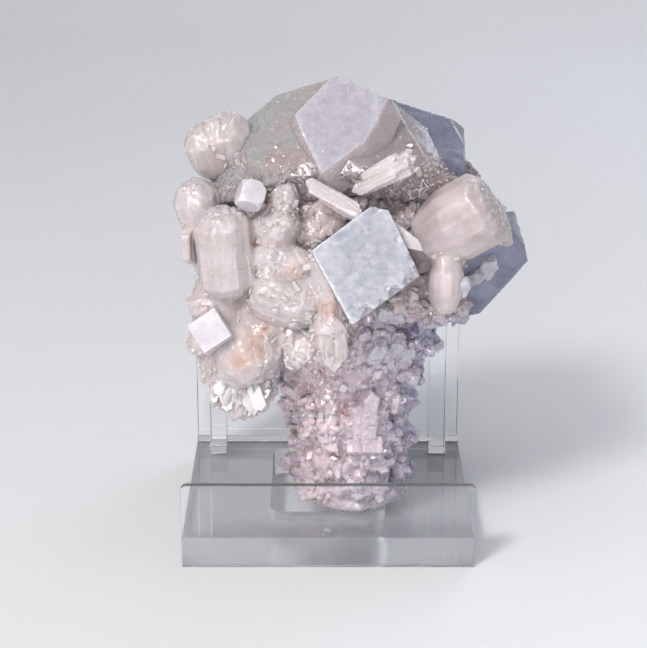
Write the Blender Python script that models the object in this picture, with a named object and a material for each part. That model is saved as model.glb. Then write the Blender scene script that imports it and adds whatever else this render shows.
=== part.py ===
"""Apophyllite and stilbite cluster on a clear acrylic stand.

The specimen is a drusy matrix stem that carries blocky apophyllite crystals
and pearly stilbite sheaves. It stands in the slot of a small display stand.
Sizes in this file are millimetres. MM turns them into metres when a mesh is made.
"""

import math
import random

import bmesh
import bpy
from mathutils import Matrix, Vector

MM = 0.001

# Clearance between pieces that touch.
GAP = 0.3

# Display stand: cemented from clear acrylic sheet.
STAND_WIDTH = 63.5
STAND_REAR = 31.75
BASE_FRONT = -29.85
BASE_THICKNESS = 6.35
LIP_FRONT = -31.75
LIP_THICKNESS = 1.6
LIP_HEIGHT = 19.05
LIP_CORNER_RADIUS = 1.2
WALL_FRONT = 25.4
WALL_HEIGHT = 47.5
RIB_CENTRE_X = 26.2
RIB_WIDTH = 4.0
RIB_DEPTH = 7.6
SLOT_HALF_WIDTH = 13.0
SLOT_FRONT = -15.8
SLOT_REAR = 21.5
SLOT_CORNER_RADIUS = 3.0
HOLE_RADIUS = 1.2
HOLE_DEPTH = 5.0
HOLE_Y = -25.6

# The camera that looks at the front of a shelf piece looks a little downwards.
# Crystals that face the viewer are set out along these three directions.
VIEW_PITCH = math.radians(18.3)
RIGHT = Vector((1.0, 0.0, 0.0))
RISE = Vector((0.0, math.sin(VIEW_PITCH), math.cos(VIEW_PITCH)))
TOWARD = Vector((0.0, -math.cos(VIEW_PITCH), math.sin(VIEW_PITCH)))

# Half-size of the block that every crystal is cut from.
ROUGH_BLOCK = 90.0

STAND_TOP = BASE_THICKNESS


def clear_scene():
    """Remove every object that is in the scene at the start."""
    for item in list(bpy.data.objects):
        bpy.data.objects.remove(item, do_unlink=True)


def facing(right, rise, toward):
    """Direction from its parts to the right, up the picture and to the viewer."""
    return (RIGHT * right + RISE * rise + TOWARD * toward).normalized()


def square_axes(axis, side):
    """Three directions at right angles: the axis, the side made square to it, the third."""
    long_axis = Vector(axis).normalized()
    wide = Vector(side)
    wide = (wide - long_axis * wide.dot(long_axis)).normalized()
    return long_axis, wide, long_axis.cross(wide)


def plane_at(normal, point):
    """One crystal face: its outward direction and its distance from the origin."""
    direction = Vector(normal).normalized()
    return direction, direction.dot(Vector(point))


def apophyllite(centre, axis, side, half_side, half_long, point_cut, half_side_b=None):
    """Square prism with a flat end at both ends and four small faces on its corners.

    point_cut is the distance from the centre to the slanted corner faces.
    """
    centre = Vector(centre)
    long_axis, wide, deep = square_axes(axis, side)
    half_b = half_side if half_side_b is None else half_side_b
    faces = []
    for sign in (-1.0, 1.0):
        faces.append(plane_at(wide * sign, centre + wide * sign * half_side))
        faces.append(plane_at(deep * sign, centre + deep * sign * half_b))
        faces.append(plane_at(long_axis * sign, centre + long_axis * sign * half_long))
    slope = math.radians(60.4)
    for sign in (-1.0, 1.0):
        for turn in range(4):
            angle = math.radians(45.0 + 90.0 * turn)
            across = wide * math.cos(angle) + deep * math.sin(angle)
            normal = long_axis * sign * math.cos(slope) + across * math.sin(slope)
            faces.append(plane_at(normal, centre + normal * point_cut))
    return centre, faces


def blade(centre, axis, side, half_long, half_wide, half_thick, tip_angle=38.0):
    """Flat stilbite blade with a roof-shaped tip at both ends."""
    centre = Vector(centre)
    long_axis, wide, thin = square_axes(axis, side)
    faces = []
    for sign in (-1.0, 1.0):
        faces.append(plane_at(wide * sign, centre + wide * sign * half_wide))
        faces.append(plane_at(thin * sign, centre + thin * sign * half_thick))
        for lean in (-1.0, 1.0):
            tilt = math.radians(tip_angle)
            normal = long_axis * sign * math.cos(tilt) + wide * lean * math.sin(tilt)
            faces.append(plane_at(normal, centre + long_axis * sign * half_long))
            edge = wide * sign + thin * lean
            corner = wide * sign * half_wide * 0.90 + thin * lean * half_thick * 0.90
            faces.append(plane_at(edge, centre + corner))
    return centre, faces


def barrel(centre, axis, side, half_long, radius_wide, radius_deep, bulge=1.5, sides=12, swell=0.0,
           dome=0.0):
    """Stilbite sheaf: a bulging bundle of blades with flat or domed ends.

    bulge is the length of the rounding over half_long. swell moves the widest
    place along the axis, as a part of half_long. dome is how far the ends are
    sloped off at their rim.
    """
    centre = Vector(centre)
    long_axis, wide, deep = square_axes(axis, side)
    round_centre = centre + long_axis * half_long * swell
    faces = []
    for tilt_degrees in (-44.0, -20.0, 0.0, 20.0, 44.0):
        tilt = math.radians(tilt_degrees)
        for turn in range(sides):
            angle = 2.0 * math.pi * (turn + 0.5) / sides
            across = wide * math.cos(angle) + deep * math.sin(angle)
            normal = across * math.cos(tilt) + long_axis * math.sin(tilt)
            reach_wide = radius_wide * normal.dot(wide)
            reach_deep = radius_deep * normal.dot(deep)
            reach_long = half_long * bulge * normal.dot(long_axis)
            reach = math.sqrt(reach_wide ** 2 + reach_deep ** 2 + reach_long ** 2)
            faces.append((normal, normal.dot(round_centre) + reach))
    shoulder = math.sqrt(max(1.0 - 1.0 / bulge ** 2, 0.2))
    slope = math.radians(52.0)
    for sign in (-1.0, 1.0):
        end = centre + long_axis * sign * half_long
        faces.append(plane_at(long_axis * sign, end))
        if dome > 0.0:
            for turn in range(8):
                angle = 2.0 * math.pi * (turn + 0.2) / 8.0
                across = wide * math.cos(angle) + deep * math.sin(angle)
                normal = across * math.cos(slope) + long_axis * sign * math.sin(slope)
                wide_part = radius_wide * across.dot(wide)
                deep_part = radius_deep * across.dot(deep)
                rim = math.sqrt(wide_part ** 2 + deep_part ** 2) * shoulder
                faces.append(plane_at(normal, end + across * rim - normal * dome))
    return centre, faces


def solid_from_faces(crystal, grow=0.0):
    """Cut one crystal out of a rough block, one face after another.

    grow moves every face outwards, which gives the socket that the crystal sits in.
    """
    centre, faces = crystal
    shape = bmesh.new()
    bmesh.ops.create_cube(shape, size=2.0 * ROUGH_BLOCK, matrix=Matrix.Translation(centre))
    for normal, distance in faces:
        cut = bmesh.ops.bisect_plane(
            shape,
            geom=shape.verts[:] + shape.edges[:] + shape.faces[:],
            dist=0.0005,
            plane_co=normal * (distance + grow),
            plane_no=normal,
            clear_outer=True,
        )
        rim = [item for item in cut["geom_cut"] if isinstance(item, bmesh.types.BMEdge)]
        open_rim = [edge for edge in rim if edge.is_valid and edge.is_boundary]
        if len(open_rim) > 2:
            bmesh.ops.holes_fill(shape, edges=open_rim, sides=0)
    bmesh.ops.remove_doubles(shape, verts=shape.verts[:], dist=0.04)
    bmesh.ops.dissolve_limit(
        shape, angle_limit=0.01, verts=shape.verts[:], edges=shape.edges[:]
    )
    bmesh.ops.recalc_face_normals(shape, faces=shape.faces[:])
    return shape


def crystals_mesh(name, crystals, grow=0.0):
    """Put several crystals in one mesh, in metres."""
    whole = bmesh.new()
    for crystal in crystals:
        piece = solid_from_faces(crystal, grow)
        part = bpy.data.meshes.new("crystal")
        piece.to_mesh(part)
        piece.free()
        whole.from_mesh(part)
        bpy.data.meshes.remove(part)
    bmesh.ops.scale(whole, vec=(MM, MM, MM), verts=whole.verts[:])
    mesh = bpy.data.meshes.new(name)
    whole.to_mesh(mesh)
    whole.free()
    return mesh


def add_object(name, mesh):
    """Place a mesh in the scene as an object."""
    item = bpy.data.objects.new(name, mesh)
    bpy.context.scene.collection.objects.link(item)
    return item


def hide_cutter(item):
    """Mark an object as a cutter that isn't part of the specimen."""
    item.hide_render = True
    item.display_type = "WIRE"
    return item


def boolean(item, operation, tool, self_overlap=False):
    """Join the tool to an object, or cut it away from it."""
    step = item.modifiers.new(operation.lower(), "BOOLEAN")
    step.operation = operation
    step.object = tool
    step.solver = "EXACT"
    step.use_self = self_overlap


def settle(item):
    """Turn an object with its modifiers into a plain mesh and drop its tools."""
    tools = [step.object for step in item.modifiers if step.type == "BOOLEAN"]
    bpy.context.view_layer.update()
    graph = bpy.context.evaluated_depsgraph_get()
    mesh = bpy.data.meshes.new_from_object(item.evaluated_get(graph))
    mesh.name = item.name
    item.modifiers.clear()
    item.data = mesh
    for tool in tools:
        if tool.name in bpy.data.objects:
            bpy.data.objects.remove(tool, do_unlink=True)
    return item


def keep_largest(item):
    """Keep the largest island of a mesh and clean its short edges."""
    shape = bmesh.new()
    shape.from_mesh(item.data)
    bmesh.ops.remove_doubles(shape, verts=shape.verts[:], dist=0.00001)
    bmesh.ops.dissolve_degenerate(shape, dist=0.00001, edges=shape.edges[:])
    shape.verts.ensure_lookup_table()
    seen = set()
    islands = []
    for start in shape.verts:
        if start in seen:
            continue
        island = []
        waiting = [start]
        seen.add(start)
        while waiting:
            vert = waiting.pop()
            island.append(vert)
            for edge in vert.link_edges:
                other = edge.other_vert(vert)
                if other not in seen:
                    seen.add(other)
                    waiting.append(other)
        islands.append(island)
    islands.sort(key=len, reverse=True)
    for island in islands[1:]:
        bmesh.ops.delete(shape, geom=island, context="VERTS")
    bmesh.ops.recalc_face_normals(shape, faces=shape.faces[:])
    shape.to_mesh(item.data)
    shape.free()


def grown_together(name, crystals, sockets=()):
    """One solid of crystals that overlap, with sockets for the crystals that they hold."""
    item = add_object(name, crystals_mesh(name, crystals[:1]))
    if len(crystals) > 1:
        rest = hide_cutter(add_object(name + "_rest", crystals_mesh(name, crystals[1:])))
        boolean(item, "UNION", rest, self_overlap=True)
        settle(item)
    for crystal in sockets:
        tool = add_object(name + "_socket", crystals_mesh(name, [crystal], GAP))
        boolean(item, "DIFFERENCE", hide_cutter(tool))
        settle(item)
    keep_largest(item)
    return item


def material(name, colour, roughness, transmission=0.0, ior=1.5):
    """Principled material of one sub-part."""
    made = bpy.data.materials.new(name)
    made.use_nodes = True
    shader = made.node_tree.nodes["Principled BSDF"]
    shader.inputs["Base Color"].default_value = (*colour, 1.0)
    shader.inputs["Roughness"].default_value = roughness
    shader.inputs["Metallic"].default_value = 0.0
    shader.inputs["Transmission Weight"].default_value = transmission
    shader.inputs["IOR"].default_value = ior
    return made


def sheet(name, low, high):
    """Rectangular plate of acrylic between two corners."""
    shape = bmesh.new()
    bmesh.ops.create_cube(shape, size=1.0)
    size = Vector(high) - Vector(low)
    middle = (Vector(high) + Vector(low)) * 0.5
    bmesh.ops.scale(shape, vec=size * MM, verts=shape.verts[:])
    bmesh.ops.translate(shape, vec=middle * MM, verts=shape.verts[:])
    mesh = bpy.data.meshes.new(name)
    shape.to_mesh(mesh)
    shape.free()
    return add_object(name, mesh)


def round_upright_edges(item, radius, keep):
    """Round the upright or fore-and-aft edges that the keep test picks."""
    shape = bmesh.new()
    shape.from_mesh(item.data)
    chosen = [edge for edge in shape.edges if keep(edge)]
    bmesh.ops.bevel(
        shape, geom=chosen, offset=radius * MM, segments=4, profile=0.5, affect="EDGES"
    )
    shape.to_mesh(item.data)
    shape.free()


def make_stand():
    """Base with its slot and blind hole, front lip, back wall and two ribs."""
    half = STAND_WIDTH / 2.0
    base = sheet("stand_base", (-half, BASE_FRONT, 0.0), (half, STAND_REAR, BASE_THICKNESS))

    slot = sheet(
        "slot_cutter",
        (-SLOT_HALF_WIDTH, SLOT_FRONT, -5.0),
        (SLOT_HALF_WIDTH, SLOT_REAR, BASE_THICKNESS + 5.0),
    )
    round_upright_edges(
        slot,
        SLOT_CORNER_RADIUS,
        lambda edge: abs(edge.verts[0].co.z - edge.verts[1].co.z) > 0.001,
    )
    boolean(base, "DIFFERENCE", hide_cutter(slot))

    drill = bmesh.new()
    bottom = BASE_THICKNESS - HOLE_DEPTH
    bmesh.ops.create_cone(
        drill, cap_ends=True, segments=16, radius1=HOLE_RADIUS * MM, radius2=HOLE_RADIUS * MM,
        depth=(HOLE_DEPTH + 2.0) * MM,
        matrix=Matrix.Translation(Vector((0.0, HOLE_Y, bottom + HOLE_DEPTH / 2.0 + 1.0)) * MM),
    )
    drill_mesh = bpy.data.meshes.new("drill_cutter")
    drill.to_mesh(drill_mesh)
    drill.free()
    boolean(base, "DIFFERENCE", hide_cutter(add_object("drill_cutter", drill_mesh)))
    settle(base)

    lip = sheet(
        "stand_lip",
        (-half, LIP_FRONT, 0.0),
        (half, LIP_FRONT + LIP_THICKNESS, LIP_HEIGHT),
    )
    round_upright_edges(
        lip,
        LIP_CORNER_RADIUS,
        lambda edge: abs(edge.verts[0].co.y - edge.verts[1].co.y) > 0.001
        and edge.verts[0].co.z > 0.5 * LIP_HEIGHT * MM,
    )

    foot = BASE_THICKNESS + GAP
    wall = sheet(
        "stand_back", (-half, WALL_FRONT, foot), (half, STAND_REAR, foot + WALL_HEIGHT)
    )
    ribs = []
    for name, centre_x in (("stand_rib_left", -RIB_CENTRE_X), ("stand_rib_right", RIB_CENTRE_X)):
        ribs.append(sheet(
            name,
            (centre_x - RIB_WIDTH / 2.0, WALL_FRONT - GAP - RIB_DEPTH, foot),
            (centre_x + RIB_WIDTH / 2.0, WALL_FRONT - GAP, foot + WALL_HEIGHT),
        ))
    acrylic = material("clear_acrylic", (0.93, 0.95, 0.97), 0.03, 1.0, 1.49)
    pieces = [base, lip, wall] + ribs
    for piece in pieces:
        piece.data.materials.append(acrylic)
    return pieces


# Large grey-green crystal that crowns the specimen. Its two upper front faces
# and two upper rear faces meet at the top.
CROWN_TOP = (2.0, -4.0, 102.6)


def crown_crystal():
    """The large crystal, face by face."""
    faces = [
        plane_at((-0.30, -0.60, 0.95), CROWN_TOP),
        plane_at((0.42, -0.60, 0.95), CROWN_TOP),
        plane_at((-0.30, 0.55, 0.95), CROWN_TOP),
        plane_at((0.42, 0.55, 0.95), CROWN_TOP),
        plane_at((-0.81, -0.12, 0.587), (-12.4, -2.0, 97.4)),
        plane_at((0.753, -0.12, 0.658), (15.6, -2.0, 95.6)),
        plane_at((-0.50, -0.86, 0.12), (-9.0, -23.0, 86.0)),
        plane_at((0.50, -0.86, 0.12), (11.0, -22.5, 86.0)),
        plane_at((-0.06, -1.0, 0.18), (0.0, -24.0, 87.0)),
        plane_at((-0.60, 0.70, 0.25), (-14.0, 12.0, 84.0)),
        plane_at((0.55, 0.75, 0.25), (18.0, 12.0, 84.0)),
        plane_at((-1.0, 0.0, -0.35), (-25.5, 0.0, 78.0)),
        plane_at((1.0, 0.0, -0.30), (30.5, 0.0, 76.0)),
        plane_at((0.60, 0.0, -0.80), (31.5, 0.0, 75.5)),
        plane_at((0.0, 1.0, 0.25), (0.0, 17.0, 85.0)),
        plane_at((0.0, -0.70, -0.71), (0.0, -24.0, 85.5)),
        plane_at((0.0, 0.0, -1.0), (0.0, 0.0, 66.0)),
    ]
    return Vector((2.0, -4.0, 82.0)), faces


# Corners of the pale kite-shaped face that stands proud of the crown's front.
KITE_CORNERS = (
    (3.0, -12.5, 104.0),
    (0.4, -13.2, 104.0),
    (-7.3, -19.0, 97.2),
    (-5.4, -21.6, 93.8),
    (-2.6, -27.0, 87.6),
    (-1.2, -27.2, 87.1),
    (7.0, -23.2, 92.4),
    (9.8, -20.2, 96.2),
    (11.8, -15.0, 100.2),
)
KITE_NORMAL = (0.02, -0.769, 0.639)


def kite_crystal():
    """Smaller crystal grown in parallel with the crown, behind the kite-shaped face."""
    normal = Vector(KITE_NORMAL).normalized()
    middle = Vector((0.0, 0.0, 0.0))
    for corner in KITE_CORNERS:
        middle += Vector(corner)
    middle = middle / len(KITE_CORNERS)
    faces = [plane_at(normal, KITE_CORNERS[2])]
    faces.append(plane_at((0.33, -0.72, 0.61), (7.4, -21.5, 95.3)))
    count = len(KITE_CORNERS)
    for index in range(count):
        start = Vector(KITE_CORNERS[index])
        end = Vector(KITE_CORNERS[(index + 1) % count])
        outward = (end - start).cross(normal).normalized()
        if outward.dot(start - middle) < 0.0:
            outward = -outward
        faces.append(plane_at(outward + normal * 0.18, start))
    faces.append(plane_at(-normal, middle - normal * 11.0))
    return middle - normal * 3.0, faces


def rear_crystal():
    """Blue-grey crystal behind the crown, on its right."""
    faces = [
        plane_at((0.30, -0.45, 0.95), (18.0, 9.0, 93.6)),
        plane_at((0.30, 0.50, 0.95), (18.0, 9.0, 93.6)),
        plane_at((0.75, -0.10, 0.65), (28.6, 10.0, 89.4)),
        plane_at((1.0, -0.05, 0.02), (30.7, 10.0, 84.0)),
        plane_at((0.0, 1.0, 0.20), (18.0, 20.0, 86.0)),
        plane_at((0.0, -1.0, 0.0), (18.0, -4.0, 86.0)),
        plane_at((-1.0, 0.0, 0.0), (2.0, 10.0, 86.0)),
        plane_at((0.0, 0.0, -1.0), (18.0, 10.0, 72.0)),
    ]
    return Vector((19.0, 9.0, 82.0)), faces


def right_crystal():
    """Blue-grey crystal low on the right, half behind the large sheaf."""
    faces = [
        plane_at((0.744, -0.12, -0.668), (43.4, 0.0, 60.6)),
        plane_at((0.98, 0.0, 0.20), (43.9, 0.0, 62.0)),
        plane_at((0.80, -0.05, 0.60), (42.2, 0.0, 68.0)),
        plane_at((0.20, -0.10, -0.98), (32.0, 0.0, 50.0)),
        plane_at((0.15, -0.98, 0.10), (36.0, -10.5, 60.0)),
        plane_at((0.10, 0.98, 0.10), (34.0, 12.0, 60.0)),
        plane_at((0.0, 0.0, 1.0), (30.0, 0.0, 68.8)),
        plane_at((-1.0, 0.0, 0.0), (24.0, 0.0, 60.0)),
        plane_at((-0.60, 0.0, -0.80), (26.0, 0.0, 52.0)),
    ]
    return Vector((33.0, 0.0, 62.0)), faces


def main():
    """Build the stand, the specimen and the place they share."""
    clear_scene()
    stand = make_stand()

    crown = [crown_crystal(), kite_crystal()]
    rear = rear_crystal()
    right = right_crystal()

    # Square, milky blue-white crystal at the centre. Its flat end faces the viewer.
    centre = apophyllite(
        (7.3, -29.0, 67.7), facing(0.04, 0.02, 1.0), facing(0.80, 0.60, 0.0), 8.5, 8.4, 14.2, 9.4
    )
    # Small bright square crystal at the lower left, and a small cube above the left prism.
    small_left = apophyllite(
        (-24.4, -28.2, 52.7), facing(-0.18, 0.12, 1.0), facing(0.55, -0.83, 0.0), 3.5, 3.4, 5.1
    )
    small_cube = apophyllite(
        (-16.2, -25.6, 81.8), facing(0.35, 0.25, 0.9), facing(0.97, -0.22, 0.0), 2.6, 2.7, 3.6
    )

    up = Vector((0.0, 0.0, 1.0))
    across = Vector((1.0, 0.0, 0.0))

    upper_left = [
        barrel((-21.9, -2.5, 86.6), (-0.14, -0.22, 0.95), across, 7.6, 6.2, 5.4, 1.35, 10, 0.1, 0.8),
        barrel((-26.2, -3.6, 85.8), (-0.34, -0.22, 0.90), across, 6.2, 4.2, 4.6, 1.35, 10, 0.1, 0.8),
        barrel((-20.2, 2.0, 83.0), (-0.10, 0.05, 0.99), across, 8.0, 5.5, 5.5, 1.35, 8),
    ]

    left_mass = [
        barrel((-21.4, -24.0, 69.0), (-0.11, -0.04, 0.99), across, 9.9, 5.9, 6.0, 2.6, 8, 0.0, 1.9),
        barrel((-27.2, -15.0, 75.4), (-0.32, -0.1, 0.95), across, 7.0, 5.0, 5.4, 1.4, 10, 0.1, 0.8),
        barrel((-25.0, -10.0, 70.0), (-0.10, 0.10, 0.98), across, 10.0, 5.5, 6.5, 1.5, 8),
        blade((-29.4, -19.0, 69.2), (-0.05, 0.0, 1.0), (0.3, 1.0, 0.0), 4.4, 3.0, 1.1, 30.0),
        barrel((-11.0, -21.8, 73.8), (0.70, -0.45, 0.55), up, 5.6, 4.8, 4.6, 1.2, 10),
        barrel((-9.6, -24.4, 67.2), (0.96, -0.12, -0.20), up, 6.2, 3.6, 4.4, 1.4, 10),
        barrel((-9.0, -27.0, 60.0), (0.95, -0.10, -0.30), up, 6.8, 5.8, 5.6, 1.7, 10),
        barrel((0.2, -27.4, 60.6), (-0.05, -0.05, 1.0), across, 9.6, 4.0, 4.6, 1.7, 10),
        blade((1.6, -31.6, 51.6), (0.06, -0.10, -1.0), (1.0, 0.1, 0.0), 6.6, 2.4, 1.7, 34.0),
        blade((-1.2, -30.8, 51.4), (-0.05, -0.04, -1.0), (1.0, -0.2, 0.0), 6.0, 2.1, 1.7, 36.0),
        barrel((-6.4, -29.2, 49.2), (0.05, -0.30, -1.0), across, 4.0, 2.8, 2.8, 1.3, 10),
        barrel((-12.5, -22.0, 54.0), (0.30, -0.20, -0.90), across, 7.0, 7.0, 6.0, 1.4, 8),
        barrel((-17.4, -25.6, 47.0), (0.36, -0.34, -0.87), across, 6.6, 7.4, 6.0, 1.6, 10, 0.1),
        blade((-16.4, -24.6, 40.4), (-0.22, -0.24, -0.95), (0.96, 0.05, -0.22), 8.0, 4.0, 1.9, 40.0),
        blade((-20.2, -24.0, 41.6), (-0.02, -0.24, -0.97), (0.96, 0.05, -0.02), 7.2, 3.4, 1.9, 42.0),
        blade((-13.8, -23.2, 41.8), (-0.10, -0.20, -0.98), (0.97, 0.0, -0.10), 6.0, 2.8, 1.8, 34.0),
        barrel((-26.6, -24.0, 49.6), (-0.50, -0.20, -0.60), across, 3.6, 3.0, 3.4, 1.3, 8),
        barrel((-26.6, -23.0, 56.6), (-0.60, -0.10, 0.50), across, 3.0, 2.6, 3.0, 1.3, 8),
        barrel((-24.6, -23.6, 44.6), (-0.45, -0.10, -0.80), across, 3.4, 2.6, 3.0, 1.3, 8),
        barrel((-23.4, -20.0, 56.0), (0.0, 0.0, 1.0), across, 7.0, 5.6, 6.0, 1.4, 8),
        barrel((-9.2, -22.4, 80.4), (0.50, -0.20, 0.80), across, 3.6, 2.8, 3.0, 1.2, 8),
    ]

    right_mass = [
        barrel((27.4, -20.4, 74.6), (0.83, -0.165, 0.523), (-0.5, 0.0, 0.85), 8.6, 8.2, 7.4, 1.9, 12,
               0.45, 0.7),
        barrel((19.6, -16.5, 68.2), (0.60, -0.30, 0.55), (-0.5, 0.0, 0.85), 6.0, 5.4, 5.4, 1.4, 10),
        barrel((24.8, -24.2, 62.2), (-0.06, -0.12, -1.0), across, 6.6, 3.7, 3.4, 1.15, 10),
        blade((37.0, -17.2, 73.0), (0.35, -0.05, -0.94), (0.2, 1.0, 0.1), 4.8, 4.2, 1.0, 36.0),
        blade((16.8, -27.2, 76.0), (0.70, -0.12, -0.70), (0.45, -0.70, 0.55), 6.2, 2.4, 1.2, 34.0),
    ]

    blade_upper = [
        blade((11.4, -26.4, 86.6), (0.78, -0.36, 0.52), (-0.52, 0.1, 0.85), 7.6, 1.7, 1.9, 46.0),
        blade((13.0, -26.0, 88.0), (0.74, -0.34, 0.58), (-0.52, 0.1, 0.85), 5.6, 1.5, 1.7, 46.0),
        blade((12.6, -26.2, 85.2), (0.80, -0.36, 0.44), (-0.52, 0.1, 0.85), 6.0, 1.3, 1.6, 46.0),
    ]
    blade_lower = [
        blade((1.2, -27.4, 81.6), (0.87, -0.12, -0.46), (0.40, 0.3, 0.85), 6.6, 1.9, 1.5, 42.0),
        blade((2.2, -27.8, 80.4), (0.84, -0.10, -0.50), (0.40, 0.3, 0.85), 5.6, 1.3, 1.4, 42.0),
    ]

    apophyllites = crown + [rear, right, centre, small_left, small_cube]
    sheaves = upper_left + left_mass + right_mass + blade_upper + blade_lower

    pieces = {
        "apophyllite_crown": grown_together("apophyllite_crown", crown),
        "apophyllite_rear": grown_together("apophyllite_rear", [rear], crown),
        "apophyllite_right": grown_together("apophyllite_right", [right]),
        "apophyllite_centre": grown_together("apophyllite_centre", [centre]),
        "apophyllite_small_left": grown_together("apophyllite_small_left", [small_left]),
        "apophyllite_small_cube": grown_together("apophyllite_small_cube", [small_cube]),
        "stilbite_upper_left": grown_together("stilbite_upper_left", upper_left, crown),
        "stilbite_left": grown_together("stilbite_left", left_mass, apophyllites + upper_left),
        "stilbite_right": grown_together("stilbite_right", right_mass, apophyllites),
        "stilbite_blade_upper": grown_together(
            "stilbite_blade_upper", blade_upper, apophyllites + right_mass
        ),
        "stilbite_blade_lower": grown_together(
            "stilbite_blade_lower", blade_lower, apophyllites + left_mass + right_mass + blade_upper
        ),
    }
    pieces["matrix"] = make_matrix(apophyllites + sheaves)

    looks = {
        "apophyllite_crown": material("crown_crystal", (0.62, 0.64, 0.62), 0.12, 0.6, 1.535),
        "apophyllite_rear": material("blue_grey_crystal", (0.50, 0.53, 0.66), 0.10, 0.7, 1.535),
        "apophyllite_centre": material("milky_crystal", (0.66, 0.68, 0.76), 0.30, 0.3, 1.535),
        "stilbite": material("pearly_stilbite", (0.80, 0.68, 0.62), 0.35, 0.1, 1.50),
        "matrix": material("lilac_druse", (0.60, 0.50, 0.54), 0.35, 0.2, 1.53),
    }
    for name, piece in pieces.items():
        key = name
        if name.startswith("stilbite"):
            key = "stilbite"
        if name == "apophyllite_right":
            key = "apophyllite_rear"
        if name.startswith("apophyllite_small"):
            key = "apophyllite_centre"
        piece.data.materials.clear()
        piece.data.materials.append(looks[key])

    centre_on_floor(stand + list(pieces.values()))


# Cross-sections of the matrix from its foot to its top:
# height, middle in x, middle in y, half-width in x, half-width in y.
MATRIX_SECTIONS = (
    (3.4, 6.0, -6.0, 3.0, 3.5),
    (4.4, 6.0, -6.0, 5.2, 6.4),
    (6.6, 5.8, -6.0, 6.4, 8.6),
    (7.1, 5.0, -5.2, 12.6, 11.8),
    (10.0, 4.8, -5.0, 13.0, 12.4),
    (14.0, 4.6, -5.0, 12.6, 12.4),
    (22.0, 4.6, -5.0, 12.8, 12.6),
    (29.0, 4.6, -5.0, 13.4, 13.0),
    (35.0, 5.0, -5.0, 14.4, 13.6),
    (41.0, 5.8, -4.6, 16.0, 14.6),
    (46.0, 4.8, -4.2, 18.0, 16.2),
    (51.0, 2.0, -4.0, 20.4, 17.8),
    (57.0, 1.5, -4.0, 24.0, 18.8),
    (63.0, 2.2, -3.4, 26.2, 19.2),
    (70.0, 2.6, -3.0, 27.2, 19.4),
    (75.5, 3.0, -3.0, 26.4, 18.4),
    (80.0, 3.0, -3.0, 21.0, 15.0),
    (83.0, 3.0, -3.0, 12.0, 9.0),
)
MATRIX_SIDES = 22
MATRIX_ROUGHNESS = 0.9
DRUSE_COUNT = 104
DRUSE_LOWEST = 10.5
DRUSE_HIGHEST = 78.0


def section_at(height):
    """Cross-section of the matrix at any height, between two listed ones."""
    for low, high in zip(MATRIX_SECTIONS, MATRIX_SECTIONS[1:]):
        if low[0] <= height <= high[0]:
            part = (height - low[0]) / (high[0] - low[0])
            return [a + (b - a) * part for a, b in zip(low, high)]
    return list(MATRIX_SECTIONS[-1])


def druse_crystals():
    """Small blocky crystals that coat the matrix, each set in its surface."""
    dice = random.Random(41)
    crystals = []
    for index in range(DRUSE_COUNT):
        part = (index + 0.5) / DRUSE_COUNT
        height = DRUSE_LOWEST + (DRUSE_HIGHEST - DRUSE_LOWEST) * part ** 0.9
        angle = index * 2.399963 + dice.uniform(-0.25, 0.25)
        row = section_at(height)
        out = Vector((math.cos(angle) / row[3], math.sin(angle) / row[4], 0.0)).normalized()
        spot = Vector((row[1] + row[3] * math.cos(angle), row[2] + row[4] * math.sin(angle), height))
        size = dice.uniform(1.3, 2.5)
        axis = out + Vector((dice.uniform(-0.7, 0.7), dice.uniform(-0.7, 0.7), dice.uniform(-0.5, 0.9)))
        side = Vector((dice.uniform(-1, 1), dice.uniform(-1, 1), dice.uniform(-1, 1)))
        centre = spot + out * (0.15 - 0.35 * size * dice.random())
        crystals.append(apophyllite(centre, axis, side, size, size * 1.25, size * 1.45, size * 0.8))
    return crystals


# Larger crystals and lumps that the matrix carries: place, axis and size.
MATRIX_LUMPS = (
    ((22.0, -17.5, 56.0), (0.3, -0.4, -0.8), 4.6),
    ((26.5, -18.0, 55.6), (0.6, -0.3, -0.6), 3.6),
    ((16.5, -20.0, 58.0), (0.0, -0.6, -0.7), 4.4),
    ((19.0, -14.0, 46.0), (0.6, -0.6, 0.3), 4.2),
    ((12.0, -17.5, 46.5), (0.1, -0.8, 0.5), 4.0),
    ((9.0, -17.5, 29.0), (0.0, -0.3, 0.95), 4.4),
    ((9.4, -17.2, 22.5), (0.0, -0.4, 0.9), 3.8),
    ((-0.2, -17.0, 27.2), (0.2, -0.9, 0.2), 2.8),
    ((29.0, 9.0, 73.0), (0.7, 0.0, 0.6), 5.5),
    ((-20.0, 8.0, 62.0), (-0.6, 0.5, 0.3), 6.5),
    ((-8.0, 15.0, 70.0), (-0.2, 0.9, 0.4), 6.5),
    ((14.0, 15.0, 58.0), (0.2, 0.9, -0.1), 6.0),
    ((4.0, 11.5, 34.0), (0.0, 0.9, 0.2), 5.0),
    ((-9.0, 2.0, 44.0), (-0.7, 0.4, -0.4), 5.5),
)


def matrix_lumps():
    """Blocky lumps on the matrix, as crystals of the same kind as the druse."""
    lumps = []
    for index, (spot, axis, size) in enumerate(MATRIX_LUMPS):
        side = Vector((math.cos(index * 1.7), math.sin(index * 1.7), 0.6))
        lumps.append(apophyllite(spot, axis, side, size * 0.8, size, size * 1.1, size * 0.62))
    return lumps


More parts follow.
